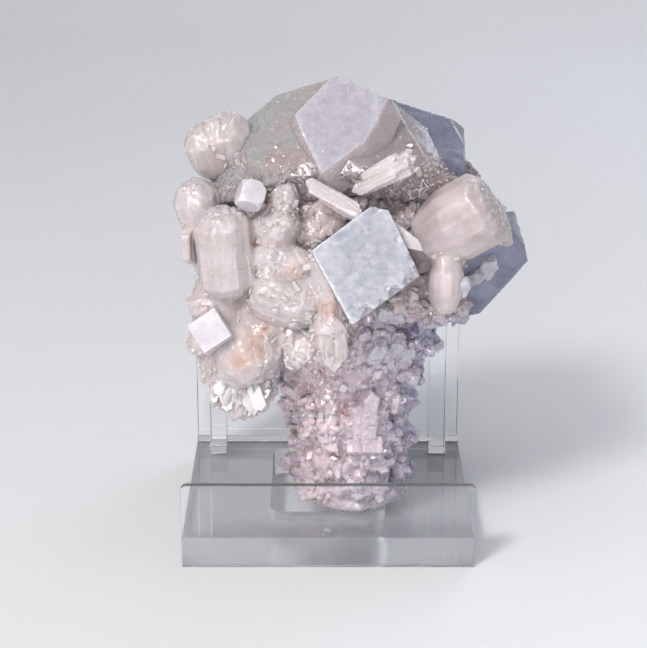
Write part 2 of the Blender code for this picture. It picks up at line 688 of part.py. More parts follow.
def make_matrix(held):
    """Drusy stem and core, with a socket for every crystal that it holds."""
    dice = random.Random(7)
    shape = bmesh.new()
    rings = []
    for height, middle_x, middle_y, half_x, half_y in MATRIX_SECTIONS:
        ring = []
        for side in range(MATRIX_SIDES):
            angle = 2.0 * math.pi * side / MATRIX_SIDES
            rough = 0.0 if height < 7.0 else dice.uniform(-1.0, 1.0) * MATRIX_ROUGHNESS
            lift = 0.0 if height < 8.0 or height > 82.0 else dice.uniform(-0.8, 0.8)
            spot = Vector((
                middle_x + (half_x + rough) * math.cos(angle),
                middle_y + (half_y + rough) * math.sin(angle),
                height + lift,
            ))
            ring.append(shape.verts.new(spot * MM))
        rings.append(ring)
    for low, high in zip(rings, rings[1:]):
        for side in range(MATRIX_SIDES):
            after = (side + 1) % MATRIX_SIDES
            shape.faces.new((low[side], low[after], high[after], high[side]))
    shape.faces.new(list(reversed(rings[0])))
    shape.faces.new(rings[-1])
    bmesh.ops.triangulate(shape, faces=shape.faces[:])
    bmesh.ops.recalc_face_normals(shape, faces=shape.faces[:])
    mesh = bpy.data.meshes.new("matrix")
    shape.to_mesh(mesh)
    shape.free()
    matrix = add_object("matrix", mesh)

    coat = crystals_mesh("druse", matrix_lumps() + druse_crystals())
    boolean(matrix, "UNION", hide_cutter(add_object("druse", coat)), self_overlap=True)
    settle(matrix)
    for crystal in held:
        socket = add_object("socket", crystals_mesh("socket", [crystal], GAP))
        boolean(matrix, "DIFFERENCE", hide_cutter(socket))
        settle(matrix)
    keep_largest(matrix)
    return matrix


def centre_on_floor(pieces):
    """Put the middle of the whole object's footprint at the origin."""
    bpy.context.view_layer.update()
    points = []
    for piece in pieces:
        points += [piece.matrix_world @ vert.co for vert in piece.data.vertices]
    low = [min(point[axis] for point in points) for axis in range(3)]
    high = [max(point[axis] for point in points) for axis in range(3)]
    home = bpy.data.objects.new("cluster_on_stand", None)
    bpy.context.scene.collection.objects.link(home)
    home.location = (-(low[0] + high[0]) / 2.0, -(low[1] + high[1]) / 2.0, -low[2])
    for piece in pieces:
        piece.parent = home
    bpy.context.view_layer.update()


main()
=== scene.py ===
"""Looks of the apophyllite and stilbite cluster on its clear stand.

Sizes are millimetres, measured from the middle of the stand's base, with +Y
towards its back wall. HOME moves them to the shared frame, whose unit is the metre.
"""

import math

import bmesh
import bpy
import numpy as np
from mathutils import Matrix, Vector
from mathutils.bvhtree import BVHTree


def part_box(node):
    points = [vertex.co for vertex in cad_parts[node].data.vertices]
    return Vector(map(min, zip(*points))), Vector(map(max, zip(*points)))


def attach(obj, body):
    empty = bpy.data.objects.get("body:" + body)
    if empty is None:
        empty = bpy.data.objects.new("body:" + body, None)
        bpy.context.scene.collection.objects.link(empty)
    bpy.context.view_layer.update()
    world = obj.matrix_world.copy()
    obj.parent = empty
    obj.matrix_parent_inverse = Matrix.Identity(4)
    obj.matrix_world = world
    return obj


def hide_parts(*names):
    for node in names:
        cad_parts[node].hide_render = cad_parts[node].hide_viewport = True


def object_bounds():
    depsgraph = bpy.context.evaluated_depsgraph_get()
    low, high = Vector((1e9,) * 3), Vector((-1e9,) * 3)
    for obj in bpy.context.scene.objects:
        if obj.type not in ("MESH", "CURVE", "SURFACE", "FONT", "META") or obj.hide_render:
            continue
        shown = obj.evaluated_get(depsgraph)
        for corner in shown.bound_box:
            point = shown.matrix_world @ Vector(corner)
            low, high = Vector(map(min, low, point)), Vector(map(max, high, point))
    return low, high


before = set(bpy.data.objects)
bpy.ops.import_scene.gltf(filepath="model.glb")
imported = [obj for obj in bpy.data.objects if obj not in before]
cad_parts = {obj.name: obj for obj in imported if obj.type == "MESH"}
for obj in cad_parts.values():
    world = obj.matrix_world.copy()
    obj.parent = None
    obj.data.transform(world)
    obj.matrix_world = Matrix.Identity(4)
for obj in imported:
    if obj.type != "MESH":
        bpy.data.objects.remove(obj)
cad_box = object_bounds()

MM = 0.001
VIEW_PITCH = math.radians(18.3)
ACROSS = Vector((1.0, 0.0, 0.0))
UP = Vector((0.0, 0.0, 1.0))
RISE = Vector((0.0, math.sin(VIEW_PITCH), math.cos(VIEW_PITCH)))
TOWARD = Vector((0.0, -math.cos(VIEW_PITCH), math.sin(VIEW_PITCH)))
CAMERA_SPOT = Vector((-0.98, -423.9, 185.4))
ROUGH_BLOCK = 90.0
BASE_HALF_DEPTH = 31.75
BOX_MARGIN = 0.02

base_low, base_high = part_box("stand_base")
HOME = np.array([(base_low.x + base_high.x) / 2.0, base_high.y - BASE_HALF_DEPTH * MM, 0.0])
CAD_LOW = np.array(cad_box[0]) + BOX_MARGIN * MM
CAD_HIGH = np.array(cad_box[1]) - BOX_MARGIN * MM


# Crystal shapes, each a centre and a list of faces. A face is its outward
# direction and its distance from the origin.

PYRAMID_SLOPE = math.radians(60.4)
BLADE_CORNER = 0.90
END_TURN = 0.2
DOME_DROP = 0.7


def facing(right, rise, toward):
    """Direction from its parts to the right, up the picture and to the viewer."""
    return (ACROSS * right + RISE * rise + TOWARD * toward).normalized()


def square_axes(axis, side):
    """The axis, the side made square to it, and the third direction."""
    long_axis = Vector(axis).normalized()
    wide = Vector(side)
    wide = (wide - long_axis * wide.dot(long_axis)).normalized()
    return long_axis, wide, long_axis.cross(wide)


def spoke(first, second, angle):
    """Direction at an angle from the first direction towards the second."""
    return first * math.cos(angle) + second * math.sin(angle)


def plane_at(normal, point):
    """One crystal face through a point."""
    direction = Vector(normal).normalized()
    return direction, direction.dot(Vector(point))


def sides_at(centre, sign, *sides):
    """Faces on one side of the centre: the direction and the distance of each."""
    return [plane_at(way * sign, centre + way * sign * reach) for way, reach in sides]


def apophyllite(centre, axis, side, half_side, half_long, point_cut, half_side_b=None):
    """Square prism with flat ends and four slanted faces at the corners of each end."""
    centre = Vector(centre)
    long_axis, wide, deep = square_axes(axis, side)
    half_b = half_side if half_side_b is None else half_side_b
    faces = []
    for sign in (-1.0, 1.0):
        faces += sides_at(centre, sign, (wide, half_side), (deep, half_b), (long_axis, half_long))
    for sign in (-1.0, 1.0):
        for turn in range(4):
            across = spoke(wide, deep, math.radians(45.0 + 90.0 * turn))
            normal = spoke(long_axis * sign, across, PYRAMID_SLOPE)
            faces.append(plane_at(normal, centre + normal * point_cut))
    return {"centre": centre, "faces": faces}


def blade(centre, axis, side, half_long, half_wide, half_thick, tip_angle=38.0):
    """Flat blade with a roof-shaped tip at both ends and narrow faces along its corners."""
    centre = Vector(centre)
    long_axis, wide, thin = square_axes(axis, side)
    faces = []
    for sign in (-1.0, 1.0):
        faces += sides_at(centre, sign, (wide, half_wide), (thin, half_thick))
        for lean in (-1.0, 1.0):
            normal = spoke(long_axis * sign, wide * lean, math.radians(tip_angle))
            faces.append(plane_at(normal, centre + long_axis * sign * half_long))
            corner = wide * sign * half_wide * BLADE_CORNER
            corner = corner + thin * lean * half_thick * BLADE_CORNER
            faces.append(plane_at(wide * sign + thin * lean, centre + corner))
    axes = (long_axis, wide, thin)
    return {"centre": centre, "faces": faces, "axes": axes, "half_long": half_long}


def barrel(
    centre, axis, side, half_long, radius_wide, radius_deep, bulge=1.5, swell=0.0, dome=0.6,
    sides=14,
):
    """Stilbite sheaf: a bulging bundle of blades with ends sloped off by dome millimetres."""
    centre = Vector(centre)
    long_axis, wide, deep = square_axes(axis, side)
    round_centre = centre + long_axis * half_long * swell
    faces = []
    for tilt in range(-54, 55, 18):
        for turn in range(sides):
            across = spoke(wide, deep, 2.0 * math.pi * turn / sides - math.pi / 2.0)
            normal = spoke(across, long_axis, math.radians(tilt))
            reach = math.hypot(
                radius_wide * normal.dot(wide),
                radius_deep * normal.dot(deep),
                half_long * bulge * normal.dot(long_axis),
            )
            faces.append((normal, normal.dot(round_centre) + reach))
    shoulder = math.sqrt(max(1.0 - 1.0 / bulge ** 2, 0.2))
    for sign in (-1.0, 1.0):
        end = centre + long_axis * sign * half_long
        faces.append(plane_at(long_axis * sign, end))
        for tilt in (38.0, 64.0):
            for turn in range(8):
                across = spoke(wide, deep, 2.0 * math.pi * (turn + END_TURN) / 8.0)
                normal = spoke(across, long_axis * sign, math.radians(tilt))
                rim = math.hypot(radius_wide * across.dot(wide), radius_deep * across.dot(deep))
                edge = end + across * (rim * shoulder)
                faces.append(plane_at(normal, edge - normal * dome * DOME_DROP))
    axes = (long_axis, wide, deep)
    return {"centre": centre, "faces": faces, "axes": axes, "half_long": half_long}


def cut_solid(crystal):
    """Cut one crystal out of a rough block, face after face."""
    shape = bmesh.new()
    bmesh.ops.create_cube(
        shape, size=2.0 * ROUGH_BLOCK, matrix=Matrix.Translation(crystal["centre"])
    )
    for normal, distance in crystal["faces"]:
        cut = bmesh.ops.bisect_plane(
            shape,
            geom=shape.verts[:] + shape.edges[:] + shape.faces[:],
            dist=0.0005,
            plane_co=normal * distance,
            plane_no=normal,
            clear_outer=True,
        )
        rim = [item for item in cut["geom_cut"] if isinstance(item, bmesh.types.BMEdge)]
        open_rim = [edge for edge in rim if edge.is_valid and edge.is_boundary]
        if len(open_rim) > 2:
            bmesh.ops.holes_fill(shape, edges=open_rim, sides=0)
    bmesh.ops.remove_doubles(shape, verts=shape.verts[:], dist=0.02)
    bmesh.ops.recalc_face_normals(shape, faces=shape.faces[:])
    return shape


def joined_mesh(name, crystals):
    """Several crystals in one mesh, in metres and in the shared frame."""
    whole = bmesh.new()
    for crystal in crystals:
        piece = cut_solid(crystal)
        part = bpy.data.meshes.new("crystal")
        piece.to_mesh(part)
        piece.free()
        whole.from_mesh(part)
        bpy.data.meshes.remove(part)
    bmesh.ops.scale(whole, vec=(MM, MM, MM), verts=whole.verts[:])
    bmesh.ops.translate(whole, vec=Vector(HOME), verts=whole.verts[:])
    mesh = bpy.data.meshes.new(name)
    whole.to_mesh(mesh)
    whole.free()
    return mesh


def add_object(name, mesh):
    """Put a mesh in the scene."""
    item = bpy.data.objects.new(name, mesh)
    bpy.context.scene.collection.objects.link(item)
    return item


def bake_modifiers(item):
    """Turn an object with its modifiers into a plain mesh."""
    bpy.context.view_layer.update()
    graph = bpy.context.evaluated_depsgraph_get()
    mesh = bpy.data.meshes.new_from_object(item.evaluated_get(graph))
    mesh.name = item.name
    item.modifiers.clear()
    item.data = mesh
    return item


def fuse(name, mesh, mesh_size):
    """Fuse overlapping shapes to one even surface with a mesh size of mesh_size millimetres."""
    item = add_object(name, mesh)
    step = item.modifiers.new("fuse", "REMESH")
    step.mode = "VOXEL"
    step.voxel_size = mesh_size * MM
    step.use_smooth_shade = True
    return bake_modifiers(item)


# Mesh arrays


def read_points(item):
    """Vertices in millimetres from the stand's middle, and their normals."""
    mesh = item.data
    points = np.zeros(len(mesh.vertices) * 3)
    normals = np.zeros(len(mesh.vertices) * 3)
    mesh.vertices.foreach_get("co", points)
    mesh.vertices.foreach_get("normal", normals)
    return (points.reshape(-1, 3) - HOME) / MM, normals.reshape(-1, 3)


def write_points(item, points):
    """Write the vertices back, kept inside the box of the solid model."""
    places = np.clip(points * MM + HOME, CAD_LOW, CAD_HIGH)
    item.data.vertices.foreach_set("co", places.astype(np.float32).ravel())
    item.data.update()


def store(item, name, values):
    """Keep one number for each vertex, which the materials read."""
    layer = item.data.attributes.new(name, "FLOAT", "POINT")
    layer.data.foreach_set("value", np.asarray(values, np.float32))


def store_zeros(item, *names):
    """Numbers that the material reads and that are nought all over the piece."""
    for name in names:
        store(item, name, np.zeros(len(item.data.vertices)))


def smoothed(item, rounds):
    """Relax the mesh a little: each vertex moves half way to the middle of its neighbours."""
    mesh = item.data
    ends = np.zeros(len(mesh.edges) * 2, np.int64)
    mesh.edges.foreach_get("vertices", ends)
    ends = ends.reshape(-1, 2)
    points, _ = read_points(item)
    count = len(points)
    degree = np.bincount(ends.ravel(), minlength=count).astype(float)
    for _ in range(rounds):
        total = np.zeros_like(points)
        for axis in range(3):
            for here, there in ((ends[:, 0], ends[:, 1]), (ends[:, 1], ends[:, 0])):
                total[:, axis] += np.bincount(here, weights=points[there, axis], minlength=count)
        points += 0.5 * (total / np.maximum(degree, 1.0)[:, None] - points)
    write_points(item, points)


def fade(values, start, end):
    """From 0 at start to 1 at end, and level beyond them."""
    return np.clip((values - start) / (end - start), 0.0, 1.0)


def eased(values):
    """Numbers from 0 to 1 with a soft start and a soft end."""
    return values * values * (3.0 - 2.0 * values)


def lengths(vectors):
    """Lengths as a column."""
    return np.linalg.norm(vectors, axis=1)[:, None]


def hashed(cells, seed):
    """Repeatable numbers from -1 to 1 for whole-number cells."""
    mixed = cells[..., 0] * 374761393 + cells[..., 1] * 668265263
    mixed = mixed + cells[..., 2] * 1442695041 + seed * 974634777
    mixed = mixed & 0xFFFFFFFF
    mixed = ((mixed ^ (mixed >> 13)) * 1274126177) & 0xFFFFFFFF
    mixed = mixed ^ (mixed >> 16)
    return (mixed & 0xFFFF) / 32767.5 - 1.0


def hashed_way(cells, seed):
    """Repeatable vectors for whole-number cells."""
    return np.stack([hashed(cells, seed + axis) for axis in range(3)], axis=1)


def noise(points, scale, seed):
    """Smooth noise from -1 to 1 with features about scale millimetres across."""
    spots = points / scale + 31.7 * seed
    corner = np.floor(spots).astype(np.int64)
    part = eased(spots - corner)
    total = np.zeros(len(points))
    for index in range(8):
        step = np.array([index & 1, (index >> 1) & 1, (index >> 2) & 1])
        weight = np.prod(np.where(step == 1, part, 1.0 - part), axis=1)
        total += weight * hashed(corner + step, seed)
    return total


def layered(points, scale, seed, layers=3):
    """Several layers of noise, each half the size of the one before."""
    total = np.zeros(len(points))
    reach = 0.0
    for layer in range(layers):
        strength = 0.5 ** layer
        total += strength * noise(points, scale * strength, seed + layer)
        reach += strength
    return total / reach


NEIGHBOURS = [np.array((x, y, z)) for x in (-1, 0, 1) for y in (-1, 0, 1) for z in (-1, 0, 1)]
SCATTER = 0.42
FAR = 9.0


def scattered(spots, seed):
    """The cells around each place, and the way and distance from the random spot in each."""
    corner = np.floor(spots).astype(np.int64)
    for step in NEIGHBOURS:
        cell = corner + step
        away = spots - (cell + 0.5 + SCATTER * hashed_way(cell, seed))
        yield cell, away, np.linalg.norm(away, axis=1)


def nearest_spot(points, scale, seed):
    """Distance to the nearest of random spots about scale millimetres apart."""
    nearest = np.full(len(points), FAR)
    for _, _, reach in scattered(points / scale + 11.3 * seed, seed):
        nearest = np.minimum(nearest, reach)
    return nearest * scale


def facets(points, scale, seed, tilt):
    """Height of small flat facets, each leaning its own way, about scale millimetres across."""
    nearest = np.full(len(points), FAR)
    height = np.zeros(len(points))
    for cell, away, reach in scattered(points / scale + 7.9 * seed, seed):
        closer = reach < nearest
        lift = (away * hashed_way(cell, seed + 4)).sum(1) + 0.25 * hashed(cell, seed + 7)
        height = np.where(closer, lift, height)
        nearest = np.where(closer, reach, nearest)
    return height * tilt * scale


def outside(points, crystal):
    """Distances from the nearest and second nearest face, below zero inside, and which it is."""
    best = np.full(len(points), -1e9)
    second = np.full(len(points), -1e9)
    which = np.zeros(len(points), np.int64)
    for index, (normal, distance) in enumerate(crystal["faces"]):
        gap = points @ np.array(normal) - distance
        higher = gap > best
        second = np.where(higher, best, np.maximum(second, gap))
        which = np.where(higher, index, which)
        best = np.where(higher, gap, best)
    return best, second, which


def near_spots(points, spots):
    """How strongly each point is stained by the listed spots: place and radius."""
    total = np.zeros(len(points))
    for place, radius in spots:
        reach = np.linalg.norm(points - np.array(place), axis=1)
        total = np.maximum(total, np.clip(1.0 - reach / radius, 0.0, 1.0))
    return eased(total)


# The crystals of the specimen

CROWN_TOP = (2.0, -4.0, 102.6)

KITE_CORNERS = (
    (3.0, -12.5, 104.0),
    (0.4, -13.2, 104.0),
    (-7.3, -19.0, 97.2),
    (-5.4, -21.6, 93.8),
    (-2.6, -27.0, 87.6),
    (-1.2, -27.2, 87.1),
    (7.0, -23.2, 92.4),
    (9.8, -20.2, 96.2),
    (11.8, -15.0, 100.2),
)
KITE_NORMAL = (0.02, -0.769, 0.639)


def shaped(middle, faces):
    """A crystal from a direction and a point for each of its faces."""
    return {"centre": Vector(middle), "faces": [plane_at(*face) for face in faces]}


# The large crystal at the top
CROWN = shaped((2.0, -4.0, 82.0), [
    ((-0.30, -0.60, 0.95), CROWN_TOP),
    ((0.42, -0.60, 0.95), CROWN_TOP),
    ((-0.30, 0.55, 0.95), CROWN_TOP),
    ((0.42, 0.55, 0.95), CROWN_TOP),
    ((-0.81, -0.12, 0.587), (-12.4, -2.0, 97.4)),
    ((0.753, -0.12, 0.658), (15.6, -2.0, 95.6)),
    ((-0.50, -0.86, 0.12), (-9.0, -23.0, 86.0)),
    ((0.50, -0.86, 0.12), (11.0, -22.5, 86.0)),
    ((-0.06, -1.0, 0.18), (0.0, -24.0, 87.0)),
    ((-0.60, 0.70, 0.25), (-14.0, 12.0, 84.0)),
    ((0.55, 0.75, 0.25), (18.0, 12.0, 84.0)),
    ((-1.0, 0.0, -0.35), (-25.5, 0.0, 78.0)),
    ((1.0, 0.0, -0.30), (30.5, 0.0, 76.0)),
    ((0.60, 0.0, -0.80), (31.5, 0.0, 75.5)),
    ((0.0, 1.0, 0.25), (0.0, 17.0, 85.0)),
    ((0.0, -0.70, -0.71), (0.0, -24.0, 85.5)),
    ((0.0, 0.0, -1.0), (0.0, 0.0, 66.0)),
])


def kite_crystal():
    """Pale crystal in parallel with the crown, behind the kite-shaped face."""
    normal = Vector(KITE_NORMAL).normalized()
    corners = [Vector(corner) for corner in KITE_CORNERS]
    middle = sum(corners, Vector((0.0, 0.0, 0.0))) / len(corners)
    faces = [(normal, KITE_CORNERS[2]), ((0.33, -0.72, 0.61), (7.4, -21.5, 95.3))]
    for index, start in enumerate(corners):
        end = corners[(index + 1) % len(corners)]
        outward = (end - start).cross(normal).normalized()
        if outward.dot(start - middle) < 0.0:
            outward = -outward
        slope = 0.55 if index in (5, 6, 7) else 0.12
        faces.append((outward + normal * slope, start))
    faces.append((-normal, middle - normal * 7.0))
    return shaped(middle - normal * 3.0, faces)


# Blue-grey crystal behind the crown
REAR = shaped((19.0, 9.0, 82.0), [
    ((0.30, -0.45, 0.95), (18.0, 9.0, 93.6)),
    ((0.30, 0.50, 0.95), (18.0, 9.0, 93.6)),
    ((0.75, -0.10, 0.65), (28.6, 10.0, 89.4)),
    ((1.0, -0.05, 0.02), (30.7, 10.0, 84.0)),
    ((0.0, 1.0, 0.20), (18.0, 20.0, 86.0)),
    ((0.0, -1.0, 0.0), (18.0, -4.0, 86.0)),
    ((-1.0, 0.0, 0.0), (2.0, 10.0, 86.0)),
    ((0.0, 0.0, -1.0), (18.0, 10.0, 72.0)),
])

# Blue-grey crystal low on the right
LOW_RIGHT = shaped((33.0, 0.0, 60.0), [
    ((0.744, -0.12, -0.668), (43.4, 0.0, 60.6)),
    ((0.98, 0.0, 0.20), (43.9, 0.0, 62.0)),
    ((0.80, -0.05, 0.60), (42.2, 0.0, 68.0)),
    ((0.20, -0.10, -0.98), (32.0, 0.0, 50.0)),
    ((0.15, -0.98, 0.10), (36.0, -10.5, 60.0)),
    ((0.10, 0.98, 0.10), (34.0, 12.0, 60.0)),
    ((0.0, 0.0, 1.0), (30.0, 0.0, 68.8)),
    ((-1.0, 0.0, 0.0), (24.0, 0.0, 60.0)),
    ((-0.60, 0.0, -0.80), (26.0, 0.0, 52.0)),
])

# Edges of the centre crystal's face and of the plate beside it: the way outward to the
# right and up, and the distance from the face's middle.
CENTRE_MIDDLE = Vector((7.3, -29.0, 67.7))
CENTRE_EDGES = (
    (0.900, 0.437, 9.5), (0.22, 0.975, 12.0), (-0.60, 0.80, 8.8),
    (-0.874, -0.486, 8.4), (0.59, -0.807, 8.8), (1.0, -0.20, 12.1), (-0.25, -0.97, 12.6),
)
PLATE_EDGES = (
    (0.61, 0.79, 11.1), (0.92, 0.39, 12.6), (-0.18, -0.98, -4.8), (-1.0, 0.0, -2.0),
)
EDGE_LEAN = 0.02


def prism(edges, near, far, tilt):
    """Flat crystal that faces the front, from far to near of the centre crystal's middle."""
    front = facing(tilt[0], tilt[1], 1.0)
    faces = [
        plane_at(front, CENTRE_MIDDLE + front * near),
        plane_at(-front, CENTRE_MIDDLE + front * far),
    ]
    for right, rise, reach in edges:
        normal = ACROSS * right + RISE * rise
        faces.append(plane_at(normal + front * EDGE_LEAN, CENTRE_MIDDLE + normal * reach))
    return {"centre": CENTRE_MIDDLE, "faces": faces, "axes": (front, ACROSS, RISE)}


CENTRE_CRYSTAL = prism(CENTRE_EDGES, 8.4, -8.4, (0.04, 0.02))
SIDE_PLATE = prism(PLATE_EDGES, 5.6, 3.9, (0.10, 0.12))
SIDE_PLATE["centre"] = CENTRE_MIDDLE + ACROSS * 8.0 + RISE * 6.0 + TOWARD * 4.7
SMALL_LEFT = apophyllite(
    (-24.4, -28.2, 52.7), facing(-0.18, 0.12, 1.0), facing(0.55, -0.83, 0.0), 3.5, 3.4, 5.9
)
SMALL_CUBE = apophyllite(
    (-16.2, -25.6, 81.8), facing(0.35, 0.25, 0.9), facing(0.97, -0.22, 0.0), 2.6, 2.7, 3.6
)

UPPER_LEFT = [
    barrel((-21.9, -2.5, 86.6), (-0.14, -0.22, 0.95), ACROSS, 7.6, 6.2, 5.4, 1.35, swell=0.1, dome=1.1),
    barrel((-26.2, -3.6, 85.8), (-0.34, -0.22, 0.90), ACROSS, 6.2, 4.2, 4.6, 1.35, swell=0.1, dome=1.1),
    barrel((-20.2, 2.0, 83.0), (-0.10, 0.05, 0.99), ACROSS, 8.0, 5.5, 5.5, 1.35),
]

LEFT_MASS = [
    barrel((-21.4, -24.0, 69.0), (-0.11, -0.04, 0.99), ACROSS, 9.9, 5.9, 6.0, 2.6, dome=2.4, sides=9),
    barrel((-27.2, -15.0, 75.4), (-0.32, -0.1, 0.95), ACROSS, 7.0, 5.0, 5.4, 1.4, swell=0.1, dome=1.1,
           sides=10),
    barrel((-25.0, -10.0, 70.0), (-0.10, 0.10, 0.98), ACROSS, 10.0, 5.5, 6.5, 1.5),
    blade((-29.4, -19.0, 69.2), (-0.05, 0.0, 1.0), (0.3, 1.0, 0.0), 4.4, 3.0, 1.1, 30.0),
    barrel((-11.0, -21.8, 73.8), (0.70, -0.45, 0.55), UP, 5.6, 4.8, 4.6, 1.2),
    barrel((-9.6, -24.4, 67.2), (0.96, -0.12, -0.20), UP, 6.2, 3.6, 4.4, 1.4),
    barrel((-9.0, -27.0, 60.0), (0.95, -0.10, -0.30), UP, 6.8, 5.8, 5.6, 1.7),
    barrel((0.2, -27.4, 60.6), (-0.05, -0.05, 1.0), ACROSS, 9.6, 4.0, 4.6, 1.7),
    blade((0.9, -31.5, 51.6), (0.05, -0.10, -1.0), (1.0, 0.1, 0.0), 6.6, 3.1, 1.8, 50.0),
    blade((-1.4, -30.6, 52.4), (-0.12, -0.04, -1.0), (1.0, -0.2, 0.0), 5.0, 2.0, 1.7, 40.0),
    blade((-5.6, -31.0, 49.4), (-0.25, -0.20, -0.95), (0.95, -0.2, -0.2), 3.6, 2.5, 1.9, 46.0),
    barrel((-6.4, -29.2, 49.2), (0.05, -0.30, -1.0), ACROSS, 4.0, 2.8, 2.8, 1.3),
    barrel((-12.5, -22.0, 54.0), (0.30, -0.20, -0.90), ACROSS, 7.0, 7.0, 6.0, 1.4),
    barrel((-17.4, -25.6, 47.0), (0.36, -0.34, -0.87), ACROSS, 6.6, 7.4, 6.0, 1.6, swell=0.1,
           dome=1.6, sides=9),
    blade((-18.6, -27.4, 40.6), (-0.16, -0.20, -0.96), (0.95, 0.25, -0.15), 7.4, 2.6, 0.9, 34.0),
    blade((-21.6, -26.8, 41.6), (-0.42, -0.18, -0.88), (0.88, 0.30, -0.40), 6.4, 2.2, 0.9, 34.0),
    blade((-15.0, -26.6, 41.0), (0.05, -0.15, -0.98), (0.98, 0.10, 0.05), 6.8, 2.0, 0.9, 30.0),
    blade((-23.8, -26.0, 44.0), (-0.62, -0.15, -0.75), (0.75, 0.30, -0.60), 4.8, 2.0, 0.9, 34.0),
    blade((-16.4, -24.6, 40.4), (-0.22, -0.24, -0.95), (0.96, 0.05, -0.22), 8.0, 4.0, 1.9, 40.0),
    blade((-20.2, -24.0, 41.6), (-0.02, -0.24, -0.97), (0.96, 0.05, -0.02), 7.2, 3.4, 1.9, 42.0),
    blade((-13.8, -23.2, 41.8), (-0.10, -0.20, -0.98), (0.97, 0.0, -0.10), 6.0, 2.8, 1.8, 34.0),
    barrel((-26.6, -24.0, 49.6), (-0.50, -0.20, -0.60), ACROSS, 3.6, 3.0, 3.4, 1.3),
    barrel((-26.6, -23.0, 56.6), (-0.60, -0.10, 0.50), ACROSS, 3.0, 2.6, 3.0, 1.3),
    barrel((-24.6, -23.6, 44.6), (-0.45, -0.10, -0.80), ACROSS, 3.4, 2.6, 3.0, 1.3),
    barrel((-23.4, -20.0, 56.0), (0.0, 0.0, 1.0), ACROSS, 7.0, 5.6, 6.0, 1.4),
    barrel((-9.2, -22.4, 80.4), (0.50, -0.20, 0.80), ACROSS, 3.6, 2.8, 3.0, 1.2),
]

RIGHT_MASS = [
    barrel((27.4, -20.4, 74.6), (0.83, -0.165, 0.523), (-0.5, 0.0, 0.85), 8.6, 8.2, 7.4, 1.9,
           swell=0.45, dome=0.9),
    barrel((19.6, -16.5, 68.2), (0.60, -0.30, 0.55), (-0.5, 0.0, 0.85), 6.0, 5.4, 5.4, 1.4),
    barrel((24.8, -24.2, 62.2), (-0.06, -0.12, -1.0), ACROSS, 6.6, 3.7, 3.4, 1.15, dome=0.4),
    blade((37.0, -17.2, 73.0), (0.35, -0.05, -0.94), (0.2, 1.0, 0.1), 4.8, 4.2, 1.0, 36.0),
]

BLADE_UPPER = [
    blade((11.2, -26.4, 86.4), (0.78, -0.36, 0.52), (-0.52, 0.1, 0.85), 7.4, 1.0, 1.7, 40.0),
    blade((11.6, -26.9, 87.3), (0.77, -0.36, 0.54), (-0.52, 0.1, 0.85), 6.6, 0.6, 1.4, 46.0),
    blade((12.9, -26.0, 88.4), (0.74, -0.34, 0.58), (-0.52, 0.1, 0.85), 5.4, 0.9, 1.5, 36.0),
    blade((13.4, -26.6, 87.5), (0.76, -0.34, 0.56), (-0.52, 0.1, 0.85), 5.0, 0.5, 1.5, 50.0),
    blade((12.6, -26.2, 85.2), (0.80, -0.36, 0.44), (-0.52, 0.1, 0.85), 6.0, 0.7, 1.4, 44.0),
    blade((13.6, -26.9, 86.2), (0.80, -0.38, 0.48), (-0.52, 0.1, 0.85), 4.6, 0.5, 1.2, 50.0),
    blade((10.4, -26.6, 84.8), (0.78, -0.36, 0.50), (-0.52, 0.1, 0.85), 5.0, 0.7, 1.4, 46.0),
    blade((10.6, -26.2, 88.2), (0.76, -0.34, 0.56), (-0.52, 0.1, 0.85), 4.6, 0.7, 1.3, 46.0),
    blade((16.4, -27.6, 89.0), (0.60, -0.40, 0.70), (-0.70, 0.1, 0.70), 2.6, 0.5, 0.8, 50.0),
    blade((16.9, -27.2, 87.6), (0.90, -0.40, 0.20), (-0.20, 0.1, 0.95), 2.0, 0.5, 0.7, 50.0),
]
BLADE_LOWER = [
    blade((1.0, -27.3, 82.2), (0.87, -0.12, -0.46), (0.40, 0.3, 0.85), 6.4, 1.2, 1.3, 42.0),
    blade((1.4, -27.8, 81.2), (0.86, -0.12, -0.48), (0.40, 0.3, 0.85), 6.4, 1.2, 1.4, 38.0),
    blade((2.2, -27.8, 80.2), (0.84, -0.10, -0.50), (0.40, 0.3, 0.85), 5.4, 1.1, 1.2, 46.0),
]

# Red-brown spots in the coat of the stem.
STEM_STAINS = (
    ((3.5, -18.0, 31.3), 2.6),
    ((-4.0, -16.0, 25.7), 2.2),
    ((12.1, -16.5, 30.6), 2.0),
    ((13.1, -17.0, 40.8), 2.2),
    ((-6.0, -14.0, 36.0), 2.0),
    ((2.0, -17.6, 20.6), 2.0),
)

# Iron-rich stains in the hollows between crystals.
STAIN_SPOTS = (
    ((-15.6, -22.0, 70.6), 4.6),
    ((-16.0, -30.0, 50.0), 5.4),
    ((-18.6, -31.6, 47.6), 4.2),
    ((-14.0, -29.0, 53.4), 3.4),
    ((0.4, -32.0, 59.0), 3.6),
    ((1.6, -32.0, 63.0), 2.6),
    ((-1.6, -24.0, 76.0), 3.6),
    ((15.0, -22.0, 79.0), 4.2),
    ((20.6, -22.0, 70.4), 3.4),
    ((19.6, -24.0, 62.0), 3.0),
    ((-7.6, -28.4, 66.0), 3.0),
    ((-4.2, -28.0, 50.0), 3.0),
)

# Brownish pink clouds in the crown.
CROWN_STAINS = (
    ((-2.7, -24.0, 85.0), 9.0),
    ((15.5, -20.0, 89.0), 10.0),
    ((-10.0, -21.0, 88.0), 8.0),
    ((22.0, -14.0, 83.0), 9.0),
)


# Surface detail

